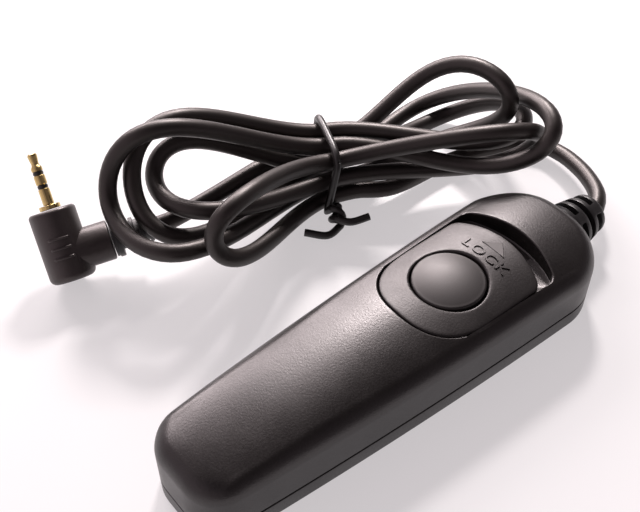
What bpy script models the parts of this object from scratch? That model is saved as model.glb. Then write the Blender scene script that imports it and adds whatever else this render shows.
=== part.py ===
# Wired shutter release: a handset with a two-stage button in a sliding hold plate,
# a thin cable tied in a hank, and a right-angle plug with a 2.5 mm three-contact pin.
# Sizes below are millimetres. +Y runs along the handset to the cable, +Z is up,
# and the origin is on the table under the middle of the handset.
import math

import bmesh
import bpy
from mathutils import Matrix, Vector

MM = 0.001

# Clearances between pieces
FIT = 0.3
THIN_FIT = 0.25
PIN_FIT = 0.12

# Handset outline, seen from above
HANDSET_LENGTH = 104.0
FAR_HALF_WIDTH = 16.4
NEAR_HALF_WIDTH = 10.6
SIDE_BOW = 1.1
NEAR_CORNER = 8.4
FAR_CORNER = 13.2

# Handset section
CROWN_HEIGHT = 17.3
CROWN_RADIUS = 38.0
END_DROP = 1.5
LEVEL_RUN = 25.0
EDGE_FILLET = 4.2
FILLET_SWEEP = 74.0
WALL = 1.6
SEAM_HEIGHT = 4.3
SEAM_GAP = 0.4
FOOT_BEVEL = 0.5
LIP_HEIGHT = 1.2
LIP_WALL = 0.8

# Pocket in the top shell, slide plate and its travel
BUTTON_Y = 16.0
POCKET_HALF_WIDTH = 12.7
POCKET_NEAR = 14.5
POCKET_FAR = 21.3
POCKET_FAR_BOW = 3.3
POCKET_CORNER = 2.6
POCKET_SQUARENESS = 2.4
POCKET_FLOOR = 12.6
FLOOR_THICKNESS = 1.2
HOLD_TRAVEL = 3.8
PLATE_SINK = 0.15

# Shutter button
BUTTON_RADIUS = 7.7
BUTTON_GAP = 0.4
BUTTON_RIM = 16.8
BUTTON_DOME = 0.9
BUTTON_ROUND = 0.5
STEM_RADIUS = 6.5
FLANGE_RADIUS = 8.2
FLANGE_THICKNESS = 0.6
PLUNGER_RADIUS = 2.5
PRESS_TRAVEL = 1.8
LEDGE_THICKNESS = 0.6
LEDGE_DEPTH = 4.0
LEDGE_POST = 1.2

# Contact leaves under the button
LEAF_THICKNESS = 0.3
LEAF_WIDTH = 6.0
LEAF_PITCH = 1.2
LEAF_TOP = 8.3
LEAF_TIP = 8.0
STACK_FAR = 15.0
STACK_LENGTH = 9.0
LEAF_TAIL = 2.5
DIMPLE_RADIUS = 1.0
DIMPLE_HEIGHT = 0.4
BASE_HALF_WIDTH = 5.0

# Screws
SCREW_SHANK = 1.0
SCREW_HEAD = 1.9
SCREW_HEAD_HEIGHT = 1.2
SCREW_RECESS = 1.8
SCREW_REACH = 9.5
BOSS_RADIUS = 2.6
LOWER_BOSS_RADIUS = 3.2
LOWER_BOSS_HEIGHT = 3.2
NEAR_SCREW_INSET = 11.0
FAR_SCREW_INSET = 9.5
FAR_SCREW_SPREAD = 9.0
STACK_SCREW_SHANK = 0.8

# Strain relief
RELIEF_HEIGHT = 7.0
RELIEF_BASE = 6.2
RELIEF_END = 4.7
RELIEF_LENGTH = 10.2
RELIEF_NECK = 4.2
RELIEF_FLANGE = 4.9
RELIEF_FLANGE_LENGTH = 2.8
RELIEF_CORE = 3.1
RELIEF_GROOVES = 3
RELIEF_GROOVE = 1.5
RELIEF_WEB = 3.0
RELIEF_WEB_TURN = 30.0

# Cable and tie
CABLE_DIAMETER = 4.0
WIRE_DIAMETER = 1.0
TIE_DIAMETER = 1.8
KNOT_SHIFT = 2.6

# Hank: waist place, direction and strand grid
WAIST = (-48.4, 25.3)
WAIST_TURN = 68.0
STRAND_STEP = 5.4
STRAND_LOW = 4.4

# Plug
PLUG_CENTRE = (-64.5, -37.3, 7.4)
PIN_DIRECTION = (-0.66, 0.156, 0.732)
STUB_DIRECTION = (0.363, 0.928, 0.082)
PLUG_RADIUS = 5.2
PLUG_TOP = 10.2
PLUG_BOTTOM = 6.0
PLUG_ROUND = 1.6
PLUG_TOP_ROUND = 0.9
STUB_RADIUS = 4.5
STUB_REACH = 10.3
BOOT_DISC = 4.4
BOOT_DISC_THICKNESS = 1.2
BOOT_NECK = 3.0
BOOT_RIB = 3.6
BOOT_RIBS = 4
BOOT_LENGTH = 8.8
COLLAR_RADIUS = 2.35
COLLAR_HEIGHT = 1.0
PIN_RADIUS = 1.25
SLEEVE_LENGTH = 3.6
INSULATOR_LENGTH = 0.7
RING_LENGTH = 2.1
TIP_LENGTH = 4.0
TIP_NECK = 0.85

# Levels and places that follow from the sizes above
SHELL_BASE = SEAM_HEIGHT + SEAM_GAP / 2
FLOOR = WALL
FLOOR_UNDERSIDE = POCKET_FLOOR - FLOOR_THICKNESS
FLANGE_TOP = FLOOR_UNDERSIDE - FIT
FLANGE_BOTTOM = FLANGE_TOP - FLANGE_THICKNESS
LEDGE_TOP = FLANGE_BOTTOM - FIT
LEDGE_BOTTOM = LEDGE_TOP - LEDGE_THICKNESS
BUTTON_SHOULDER = POCKET_FLOOR + PRESS_TRAVEL + FIT
FAR_END = HANDSET_LENGTH / 2
NEAR_END = -HANDSET_LENGTH / 2
RELIEF_FOOT = FAR_END + FIT
RELIEF_TIP = RELIEF_FOOT + RELIEF_LENGTH
STACK_Y = BUTTON_Y - STACK_FAR - STACK_LENGTH / 2
LEAF_LEVELS = {
    "common_leaf": LEAF_TOP - LEAF_THICKNESS,
    "focus_leaf": LEAF_TOP - LEAF_THICKNESS - LEAF_PITCH,
    "shutter_leaf": LEAF_TOP - LEAF_THICKNESS - 2 * LEAF_PITCH,
}
CORNER_STEPS = 7
SIDE_STEPS = 9
FILLET_STEPS = 5
CAP_COLUMNS = 6

# Free stretches of the cable: points placed by eye, some then moved by a fit to the photograph
HANDSET_LEAD = [
    (0.0, 64.6, 7.0),
    (-2.3, 68.0, 6.9),
    (-6.3, 71.0, 6.3),
    (-12.4, 74.0, 5.2),
    (-20.0, 76.0, 3.8),
    (-27.3, 74.7, 2.8),
    (-32.8, 66.3, 2.4),
    (-36.7, 52.9, 2.5),
]
PLUG_LEAD = [
    (-55.8, -3.1, 10.9),
]

# Loops of the hank in the order the cable runs, their numbers fitted to the photograph's edges:
# name, side, first and last strand at the waist (column, row), reach, half width, tilt, shift
# and lift of the tip, belly across and up
LOOPS = [
    ("right_raised", 1, (1, 1), (0, 0), 41.5, 8.6, 94.2, -9.4, 15.6, 9.2, -0.5),
    ("left_outer", -1, (0, 0), (0, 2), 52.6, -11.9, 20.5, -7.3, 8.6, -9.1, 9.3),
    ("right_outer", 1, (0, 2), (1, 0), 47.0, -16.1, 0.2, -16.2, 14.9, 7.9, -8.2),
    ("left_middle", -1, (1, 0), (1, 2), 47.0, -11.3, 25.9, -11.6, 9.3, -3.5, 4.0),
    ("right_inner", 1, (1, 2), (0, 1), 47.4, -16.3, -18.4, -2.2, 2.5, 1.4, -4.7),
    ("left_inner", -1, (0, 1), (-1, 1), 41.9, 7.7, 20.1, -0.5, 8.1, -3.2, 5.6),
    ("right_low", 1, (-1, 1), (-1, 2), 47.1, 7.5, -59.0, -7.0, 2.0, -3.3, 1.7),
    ("left_front", -1, (-1, 2), (-1, 0), 33.9, 4.2, 75.8, -20.9, 9.9, -5.5, 3.0),
]
LOOP_STEPS = 24
WIDTH_FACTOR = 2.32


def clear_scene():
    for item in list(bpy.data.objects):
        bpy.data.objects.remove(item, do_unlink=True)


def new_collection(name):
    group = bpy.data.collections.new(name)
    bpy.context.scene.collection.children.link(group)
    return group


def finish(name, colour, roughness, metallic):
    material = bpy.data.materials.new(name)
    material.use_nodes = True
    shader = material.node_tree.nodes["Principled BSDF"]
    shader.inputs["Base Color"].default_value = (*colour, 1.0)
    shader.inputs["Roughness"].default_value = roughness
    shader.inputs["Metallic"].default_value = metallic
    return material


clear_scene()
PARTS = new_collection("wired_shutter_release")
CUTTERS = new_collection("cutters")
FINISHES = {
    "shell": finish("shell_plastic", (0.030, 0.027, 0.028), 0.45, 0.0),
    "button": finish("button_plastic", (0.040, 0.037, 0.038), 0.40, 0.0),
    "rubber": finish("relief_rubber", (0.022, 0.021, 0.022), 0.55, 0.0),
    "jacket": finish("cable_jacket", (0.030, 0.024, 0.023), 0.40, 0.0),
    "gold": finish("contact_gold", (0.83, 0.62, 0.27), 0.22, 1.0),
    "brass": finish("leaf_brass", (0.72, 0.55, 0.28), 0.35, 1.0),
    "steel": finish("screw_steel", (0.55, 0.55, 0.56), 0.35, 1.0),
    "insulator": finish("insulator_plastic", (0.02, 0.02, 0.02), 0.40, 0.0),
    "base": finish("base_plastic", (0.55, 0.52, 0.45), 0.55, 0.0),
    "red": finish("wire_red", (0.55, 0.04, 0.03), 0.45, 0.0),
    "white": finish("wire_white", (0.80, 0.80, 0.78), 0.45, 0.0),
    "yellow": finish("wire_yellow", (0.75, 0.55, 0.05), 0.45, 0.0),
}


def add_object(name, data, group, material=None):
    item = bpy.data.objects.new(name, data)
    group.objects.link(item)
    if material:
        data.materials.append(FINISHES[material])
    return item


def add_part(name, data, material):
    return add_object(name, data, PARTS, material)


def add_cutter(name, data):
    cutter = add_object(name, data, CUTTERS)
    cutter.hide_render = True
    cutter.display_type = "WIRE"
    return cutter


def combine(target, other, operation):
    step = target.modifiers.new(operation.lower() + "_" + other.name, "BOOLEAN")
    step.operation = operation
    step.object = other
    step.solver = "EXACT"


def cut(target, *cutters):
    for cutter in cutters:
        combine(target, cutter, "DIFFERENCE")


def join(target, *others):
    for other in others:
        combine(target, other, "UNION")


def mesh_from(form, name):
    bmesh.ops.recalc_face_normals(form, faces=form.faces)
    mesh = bpy.data.meshes.new(name)
    form.to_mesh(mesh)
    form.free()
    return mesh


def baked(item):
    # the evaluated shape of a curve or of a piece with modifiers, welded, as a plain mesh
    graph = bpy.context.evaluated_depsgraph_get()
    mesh = bpy.data.meshes.new_from_object(item.evaluated_get(graph))
    mesh.transform(item.matrix_world)
    form = bmesh.new()
    form.from_mesh(mesh)
    bmesh.ops.remove_doubles(form, verts=form.verts, dist=0.001 * MM)
    form.to_mesh(mesh)
    form.free()
    mesh.materials.clear()
    bpy.data.objects.remove(item, do_unlink=True)
    return mesh


def box_mesh(name, low, high):
    form = bmesh.new()
    bmesh.ops.create_cube(form, size=1.0)
    size = [(b - a) * MM for a, b in zip(low, high)]
    middle = Vector([(a + b) / 2 * MM for a, b in zip(low, high)])
    bmesh.ops.scale(form, vec=size, verts=form.verts)
    bmesh.ops.translate(form, vec=middle, verts=form.verts)
    return mesh_from(form, name)


def rod_mesh(name, centre, radius, low, high, sides=32):
    form = bmesh.new()
    bmesh.ops.create_cone(form, cap_ends=True, segments=sides, radius1=radius * MM,
                          radius2=radius * MM, depth=(high - low) * MM)
    middle = Vector((centre[0], centre[1], (low + high) / 2)) * MM
    bmesh.ops.translate(form, vec=middle, verts=form.verts)
    return mesh_from(form, name)


def prism_mesh(name, points, low, high):
    curve = bpy.data.curves.new(name, "CURVE")
    curve.dimensions = "2D"
    curve.fill_mode = "BOTH"
    curve.extrude = (high - low) / 2 * MM
    spline = curve.splines.new("POLY")
    spline.points.add(len(points) - 1)
    for knot, (x, y) in zip(spline.points, points):
        knot.co = (x * MM, y * MM, 0.0, 1.0)
    spline.use_cyclic_u = True
    item = add_object(name, curve, CUTTERS)
    item.location.z = (low + high) / 2 * MM
    bpy.context.view_layer.update()
    return baked(item)


def turned_mesh(name, profile, sides, frame=None):
    # profile: (radius, height) down the outer side, from the axis to the axis
    form = bmesh.new()
    knots = [form.verts.new((r * MM, 0.0, z * MM)) for r, z in profile]
    for first, second in zip(knots, knots[1:]):
        form.edges.new((first, second))
    mesh = bpy.data.meshes.new(name)
    form.to_mesh(mesh)
    form.free()
    item = add_object(name, mesh, CUTTERS)
    screw = item.modifiers.new("turn", "SCREW")
    screw.axis = "Z"
    screw.steps = sides
    screw.render_steps = sides
    screw.use_merge_vertices = True
    screw.merge_threshold = 0.001 * MM
    if frame:
        item.matrix_world = frame
    bpy.context.view_layer.update()
    shape = baked(item)
    form = bmesh.new()
    form.from_mesh(shape)
    bmesh.ops.recalc_face_normals(form, faces=form.faces)
    form.to_mesh(shape)
    form.free()
    return shape


def smooth_round(item, angle=35.0):
    item.data.shade_smooth()
    item.data.set_sharp_from_angle(angle=math.radians(angle))


def arc(centre, radius, start, stop, steps):
    turns = [math.radians(start + (stop - start) * k / steps) for k in range(steps + 1)]
    return [(centre[0] + radius * math.cos(t), centre[1] + radius * math.sin(t)) for t in turns]


def smooth_route(points, step):
    # points every step along a smooth curve through the route's own points
    knots = [Vector(p) for p in points]
    padded = [2 * knots[0] - knots[1]] + knots + [2 * knots[-1] - knots[-2]]
    fine = []
    for before, first, second, after in zip(padded, padded[1:], padded[2:], padded[3:]):
        for k in range(40):
            t = k / 40
            fine.append(0.5 * (2 * first + (second - before) * t
                               + (2 * before - 5 * first + 4 * second - after) * t ** 2
                               + (3 * first - before - 3 * second + after) * t ** 3))
    fine.append(knots[-1])
    run = [0.0]
    for first, second in zip(fine, fine[1:]):
        run.append(run[-1] + (second - first).length)
    count = max(3, round(run[-1] / step))
    route = []
    index = 0
    for k in range(count + 1):
        goal = run[-1] * k / count
        while index < len(run) - 2 and run[index + 1] < goal:
            index += 1
        span = run[index + 1] - run[index]
        share = (goal - run[index]) / span if span else 0.0
        route.append(fine[index].lerp(fine[index + 1], share))
    return route


def lead_route(points, diameter):
    # a smooth route whose two ends stay straight, square to what they meet
    middle = []
    for place in smooth_route(points, 1.5 * diameter):
        if min((place - points[0]).length, (place - points[-1]).length) > 1.9 * diameter:
            middle.append(place)
    return points[:2] + middle + points[-2:]


def tube(name, points, diameter, resolution, material):
    curve = bpy.data.curves.new(name, "CURVE")
    curve.dimensions = "3D"
    curve.bevel_depth = diameter / 2 * MM
    curve.bevel_resolution = resolution
    curve.use_fill_caps = True
    spline = curve.splines.new("POLY")
    spline.points.add(len(points) - 1)
    for knot, place in zip(spline.points, points):
        knot.co = (*(Vector(place) * MM), 1.0)
    spline.use_smooth = True
    return add_part(name, curve, material)


# Handset forms
def half_width(y):
    along = (y - NEAR_END) / HANDSET_LENGTH
    taper = NEAR_HALF_WIDTH + (FAR_HALF_WIDTH - NEAR_HALF_WIDTH) * along
    return taper + SIDE_BOW * 4 * along * (1 - along)


def half_outline(inset):
    # right half of the handset's outline, from the near end to the cable end
    near = NEAR_END + inset
    far = FAR_END - inset
    near_radius = NEAR_CORNER - inset
    far_radius = FAR_CORNER - inset
    near_centre = (half_width(near + near_radius) - NEAR_CORNER, near + near_radius)
    far_centre = (half_width(far - far_radius) - FAR_CORNER, far - far_radius)
    points = [(0.0, near)]
    points += arc(near_centre, near_radius, -90, 0, CORNER_STEPS)
    for k in range(1, SIDE_STEPS):
        y = near_centre[1] + (far_centre[1] - near_centre[1]) * k / SIDE_STEPS
        points.append((half_width(y) - inset, y))
    points += arc(far_centre, far_radius, 0, 90, CORNER_STEPS)
    points.append((0.0, far))
    return points


def whole_outline(inset):
    half = half_outline(inset)[1:-1]
    return half + [(-x, y) for x, y in reversed(half)]


def crown(x, y):
    across = CROWN_RADIUS - math.sqrt(CROWN_RADIUS ** 2 - x ** 2)
    past = max(0.0, abs(y) - LEVEL_RUN) / (FAR_END - LEVEL_RUN)
    return CROWN_HEIGHT - across - END_DROP * past ** 2


def ring_of(form, level):
    whole = level + [(-x, y, z) for x, y, z in level[-2:0:-1]]
    return [form.verts.new(Vector(place) * MM) for place in whole]


def bridge(form, low, high):
    count = len(low)
    for k in range(count):
        after = (k + 1) % count
        form.faces.new((low[k], low[after], high[after], high[k]))


def crowned_mesh(name, inset, base, fillet, sink):
    # a lofted body: the handset's outline, a rounded edge and a crowned top
    sweep = math.radians(FILLET_SWEEP)
    last = half_outline(inset + fillet * (1 - math.cos(sweep)))
    tops = [crown(x, y) - sink for x, y in last]
    form = bmesh.new()
    rings = [ring_of(form, [(x, y, base) for x, y in half_outline(inset)])]
    level = []
    for step in range(FILLET_STEPS + 1):
        angle = sweep * step / FILLET_STEPS
        edge = half_outline(inset + fillet * (1 - math.cos(angle)))
        drop = fillet * (math.sin(sweep) - math.sin(angle))
        level = [(x, y, top - drop) for (x, y), top in zip(edge, tops)]
        rings.append(ring_of(form, level))
    form.faces.new(list(reversed(rings[0])))
    for low, high in zip(rings, rings[1:]):
        bridge(form, low, high)
    rim = rings[-1]
    count = len(level)
    rows = []
    for k in range(1, count - 1):
        x, y, _ = level[k]
        row = [rim[k]]
        for column in range(1, CAP_COLUMNS):
            across = x * (1 - 2 * column / CAP_COLUMNS)
            row.append(form.verts.new(Vector((across, y, crown(across, y) - sink)) * MM))
        row.append(rim[len(rim) - k])
        rows.append(row)
    for column in range(CAP_COLUMNS):
        form.faces.new((rim[0], rows[0][column], rows[0][column + 1]))
        form.faces.new((rim[count - 1], rows[-1][column + 1], rows[-1][column]))
        for first, second in zip(rows, rows[1:]):
            form.faces.new((first[column], second[column], second[column + 1], first[column + 1]))
    return mesh_from(form, name)


def pocket_outline(clearance, far):
    # rounded near end round the button, straight sides, bowed far end with small corners
    half = POCKET_HALF_WIDTH - clearance
    near = POCKET_NEAR - clearance
    power = 2 / POCKET_SQUARENESS
    right = []
    for k in range(19):
        turn = math.radians(-90 + 90 * k / 18)
        right.append((half * math.cos(turn) ** power, -near * abs(math.sin(turn)) ** power))
    bow_radius = (half ** 2 + POCKET_FAR_BOW ** 2) / (2 * POCKET_FAR_BOW)
    bow_centre = far - bow_radius
    corner = POCKET_CORNER
    corner_x = half - corner
    corner_y = bow_centre + math.sqrt((bow_radius - corner) ** 2 - corner_x ** 2)
    lean = math.degrees(math.atan2(corner_y - bow_centre, corner_x))
    right += arc((corner_x, corner_y), corner, 0, lean, 5)
    right += arc((0.0, bow_centre), bow_radius, lean, 90, 6)[1:]
    outline = right + [(-x, y) for x, y in right[-2:0:-1]]
    return [(x, BUTTON_Y + y) for x, y in outline]


def screw_places():
    return [
        ("case_screw_near", (0.0, NEAR_END + NEAR_SCREW_INSET)),
        ("case_screw_left", (-FAR_SCREW_SPREAD, FAR_END - FAR_SCREW_INSET)),
        ("case_screw_right", (FAR_SCREW_SPREAD, FAR_END - FAR_SCREW_INSET)),
    ]


RELIEF_FRAME = Matrix.Translation(Vector((0.0, 0.0, RELIEF_HEIGHT)) * MM) @ Matrix.Rotation(
    -math.pi / 2, 4, "X")


def relief_seat():
    # room in the end walls for the relief's neck and, inside, its flange
    inner = FAR_END - WALL
    deep = inner - FIT - RELIEF_FLANGE_LENGTH - FIT
    profile = [
        (0.0, FAR_END + 5.0),
        (RELIEF_NECK + FIT, FAR_END + 5.0),
        (RELIEF_NECK + FIT, inner),
        (RELIEF_FLANGE + FIT, inner),
        (RELIEF_FLANGE + FIT, deep),
        (0.0, deep),
    ]
    return add_cutter("relief_seat", turned_mesh("relief_seat", profile, 32, RELIEF_FRAME))


def build_top_shell(seat):
    fillet = EDGE_FILLET
    shell = add_part("top_shell", crowned_mesh("top_shell", 0.0, SHELL_BASE, fillet, 0.0), "shell")
    hollow = add_cutter("hollow", crowned_mesh("hollow", WALL, SHELL_BASE - 5.0, fillet - WALL, WALL))
    block = add_cutter("pocket_block", prism_mesh("pocket_block", pocket_outline(-WALL, POCKET_FAR + WALL),
                                                  FLOOR_UNDERSIDE, CROWN_HEIGHT + 5.0))
    cut(hollow, block)
    cut(shell, hollow)
    pocket = add_cutter("pocket", prism_mesh("pocket", pocket_outline(0.0, POCKET_FAR),
                                             POCKET_FLOOR, CROWN_HEIGHT + 5.0))
    slot_radius = STEM_RADIUS + BUTTON_GAP
    slot = arc((0.0, BUTTON_Y + HOLD_TRAVEL), slot_radius, 0, 180, 14)
    slot += arc((0.0, BUTTON_Y), slot_radius, 180, 360, 14)
    opening = add_cutter("stem_opening", prism_mesh("stem_opening", slot, LEDGE_BOTTOM - 1.0,
                                                    POCKET_FLOOR + 1.0))
    cut(shell, pocket)
    build_hold_ledge(shell)
    cut(shell, opening)
    for name, (x, y) in screw_places():
        top = crown(x, y) - WALL / 2
        boss = add_cutter(name + "_boss", rod_mesh(name + "_boss", (x, y), BOSS_RADIUS,
                                                   LOWER_BOSS_HEIGHT + FIT, top, 20))
        join(shell, boss)
        pilot = add_cutter(name + "_pilot", rod_mesh(name + "_pilot", (x, y), SCREW_SHANK + FIT,
                                                     LOWER_BOSS_HEIGHT - 1.0, SCREW_REACH + 1.0, 16))
        cut(shell, pilot)
    cut(shell, seat)
    return shell


def build_hold_ledge(shell):
    # shelf under the pocket floor: the pressed button's flange slides below it and stays down
    near = BUTTON_Y + FLANGE_RADIUS + BUTTON_GAP
    far = near + LEDGE_DEPTH
    forward = near - BUTTON_Y - HOLD_TRAVEL
    inner = math.sqrt(FLANGE_RADIUS ** 2 - forward ** 2) + BUTTON_GAP
    outer = inner + LEDGE_POST
    shelf = add_cutter("hold_shelf", box_mesh("hold_shelf", (-outer, near, LEDGE_BOTTOM),
                                              (outer, far, LEDGE_TOP)))
    join(shell, shelf)
    for side in (-1, 1):
        left, right = sorted((side * inner, side * outer))
        name = "hold_post_left" if side < 0 else "hold_post_right"
        post = add_cutter(name, box_mesh(name, (left, near, LEDGE_BOTTOM),
                                         (right, far, FLOOR_UNDERSIDE + FLOOR_THICKNESS / 2)))
        join(shell, post)


def build_bottom_shell(seat):
    form = bmesh.new()
    levels = [(FOOT_BEVEL, 0.0), (0.0, FOOT_BEVEL), (0.0, SEAM_HEIGHT - SEAM_GAP / 2)]
    rings = [ring_of(form, [(x, y, z) for x, y in half_outline(inset)]) for inset, z in levels]
    form.faces.new(list(reversed(rings[0])))
    form.faces.new(rings[-1])
    for low, high in zip(rings, rings[1:]):
        bridge(form, low, high)
    shell = add_part("bottom_shell", mesh_from(form, "bottom_shell"), "shell")
    lip_inset = WALL + THIN_FIT
    lip = add_cutter("lip", prism_mesh("lip", whole_outline(lip_inset), FLOOR / 2,
                                       SHELL_BASE + LIP_HEIGHT))
    tray = add_cutter("tray", prism_mesh("tray", whole_outline(lip_inset + LIP_WALL), FLOOR,
                                         SHELL_BASE + LIP_HEIGHT + 5.0))
    join(shell, lip)
    cut(shell, tray)
    for name, (x, y) in screw_places():
        boss = add_cutter(name + "_foot", rod_mesh(name + "_foot", (x, y), LOWER_BOSS_RADIUS,
                                                   FLOOR / 2, LOWER_BOSS_HEIGHT, 20))
        join(shell, boss)
        hole = add_cutter(name + "_hole", rod_mesh(name + "_hole", (x, y), SCREW_SHANK + FIT,
                                                   -1.0, LOWER_BOSS_HEIGHT + 1.0, 16))
        sink = add_cutter(name + "_sink", rod_mesh(name + "_sink", (x, y), SCREW_HEAD + FIT,
                                                   -1.0, SCREW_RECESS, 20))
        cut(shell, hole, sink)
    cut(shell, seat)
    return shell


def build_slide_plate():
    far = POCKET_FAR - HOLD_TRAVEL - FIT
    outline = pocket_outline(FIT, far)
    plate = add_part("slide_plate", prism_mesh("slide_plate", outline, POCKET_FLOOR + FIT,
                                               CROWN_HEIGHT + 5.0), "shell")
    limit = add_cutter("plate_top", crowned_mesh("plate_top", 0.0, SHELL_BASE, EDGE_FILLET, PLATE_SINK))
    combine(plate, limit, "INTERSECT")
    hole = add_cutter("button_hole", rod_mesh("button_hole", (0.0, BUTTON_Y), BUTTON_RADIUS + BUTTON_GAP,
                                              POCKET_FLOOR - 1.0, CROWN_HEIGHT + 6.0, 48))
    cut(plate, hole)
    return plate


def build_button():
    dome_radius = BUTTON_RADIUS - BUTTON_ROUND
    sphere = (dome_radius ** 2 + BUTTON_DOME ** 2) / (2 * BUTTON_DOME)
    profile = []
    for k in range(7):
        r = dome_radius * k / 6
        fall = sphere - math.sqrt(sphere ** 2 - r ** 2)
        profile.append((r, BUTTON_RIM + BUTTON_DOME - fall))
    profile += [
        (BUTTON_RADIUS - BUTTON_ROUND * 0.3, BUTTON_RIM - BUTTON_ROUND * 0.3),
        (BUTTON_RADIUS, BUTTON_RIM - BUTTON_ROUND),
        (BUTTON_RADIUS, BUTTON_SHOULDER),
        (STEM_RADIUS, BUTTON_SHOULDER),
        (STEM_RADIUS, FLANGE_TOP),
        (FLANGE_RADIUS, FLANGE_TOP),
        (FLANGE_RADIUS, FLANGE_BOTTOM),
        (PLUNGER_RADIUS, FLANGE_BOTTOM),
        (PLUNGER_RADIUS, LEAF_TOP + FIT),
        (0.0, LEAF_TOP + FIT),
    ]
    frame = Matrix.Translation(Vector((0.0, BUTTON_Y, 0.0)) * MM)
    button = add_part("shutter_button", turned_mesh("shutter_button", profile, 40, frame), "button")
    smooth_round(button)
    return button


def build_contacts():
    near = STACK_Y - STACK_LENGTH / 2
    far = STACK_Y + STACK_LENGTH / 2
    half = LEAF_WIDTH / 2
    lowest = min(LEAF_LEVELS.values())
    pieces = [("contact_base", "base", (-BASE_HALF_WIDTH, near, FLOOR + FIT),
               (BASE_HALF_WIDTH, far, lowest - THIN_FIT))]
    for name, level in LEAF_LEVELS.items():
        pieces.append((name, "brass", (-half, near - LEAF_TAIL, level),
                       (half, BUTTON_Y + LEAF_TIP, level + LEAF_THICKNESS)))
    for name, below in (("upper_spacer", "focus_leaf"), ("lower_spacer", "shutter_leaf")):
        level = LEAF_LEVELS[below] + LEAF_THICKNESS + THIN_FIT
        thickness = LEAF_PITCH - LEAF_THICKNESS - 2 * THIN_FIT
        pieces.append((name, "base", (-half, near, level), (half, far, level + thickness)))
    shank_low = lowest - 2.5
    bore = add_cutter("stack_bore", rod_mesh("stack_bore", (0.0, STACK_Y), STACK_SCREW_SHANK + FIT,
                                             shank_low - FIT, LEAF_TOP + 1.0, 16))
    for name, material, low, high in pieces:
        piece = add_part(name, box_mesh(name, low, high), material)
        if name in ("focus_leaf", "shutter_leaf"):
            top = high[2]
            dimple = add_cutter(name + "_dimple", rod_mesh(
                name + "_dimple", (0.0, BUTTON_Y + HOLD_TRAVEL / 2), DIMPLE_RADIUS,
                top - LEAF_THICKNESS / 2, top + DIMPLE_HEIGHT, 12))
            join(piece, dimple)
        cut(piece, bore)
    head = LEAF_TOP + THIN_FIT
    add_screw("stack_screw", (0.0, STACK_Y), head + SCREW_HEAD_HEIGHT, head, shank_low, STACK_SCREW_SHANK)


def add_screw(name, place, crest, seat, end, shank):
    # head from crest to seat, shank from seat to end; a screw from below has its crest lowest
    steps = [(0.0, crest), (SCREW_HEAD * 0.8, crest), (SCREW_HEAD, seat + (crest - seat) * 0.6),
             (SCREW_HEAD, seat), (shank, seat), (shank, end), (0.0, end)]
    if crest < seat:
        steps.reverse()
    frame = Matrix.Translation(Vector((place[0], place[1], 0.0)) * MM)
    screw = add_part(name, turned_mesh(name, steps, 16, frame), "steel")
    smooth_round(screw)


def build_case_screws():
    for name, place in screw_places():
        seat = SCREW_RECESS - FIT
        add_screw(name, place, seat - SCREW_HEAD_HEIGHT, seat, SCREW_REACH, SCREW_SHANK)


def build_strain_relief():
    inner = FAR_END - WALL - FIT
    profile = [
        (0.0, RELIEF_TIP),
        (RELIEF_END - 0.6, RELIEF_TIP),
        (RELIEF_END, RELIEF_TIP - 0.6),
        (RELIEF_BASE, RELIEF_FOOT + 1.0),
        (RELIEF_BASE, RELIEF_FOOT),
        (RELIEF_NECK, RELIEF_FOOT),
        (RELIEF_NECK, inner),
        (RELIEF_FLANGE, inner),
        (RELIEF_FLANGE, inner - RELIEF_FLANGE_LENGTH),
        (0.0, inner - RELIEF_FLANGE_LENGTH),
    ]
    relief = add_part("strain_relief", turned_mesh("strain_relief", profile, 32, RELIEF_FRAME), "rubber")
    spacing = RELIEF_LENGTH / (RELIEF_GROOVES + 0.5)
    for k in range(RELIEF_GROOVES):
        # slots go part way round, and the webs between them turn a quarter from groove to groove
        middle = RELIEF_TIP - spacing * (k + 0.75)
        low = middle - RELIEF_GROOVE / 2
        high = middle + RELIEF_GROOVE / 2
        name = "relief_groove_%d" % (k + 1)
        wide = RELIEF_BASE + 3.0
        ring = [(RELIEF_CORE, high), (wide, high), (wide, low), (RELIEF_CORE, low), (RELIEF_CORE, high)]
        turn = math.radians(RELIEF_WEB_TURN + 90.0 * k)
        turned = RELIEF_FRAME @ Matrix.Rotation(turn, 4, "Z")
        groove = add_cutter(name, turned_mesh(name, ring, 36, turned))
        web_mesh = box_mesh(name + "_web", (-RELIEF_WEB / 2, -wide - 2.0, low - 1.0),
                            (RELIEF_WEB / 2, wide + 2.0, high + 1.0))
        web_mesh.transform(turned)
        cut(groove, add_cutter(name + "_web", web_mesh))
        cut(relief, groove)
    smooth_round(relief)


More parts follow.
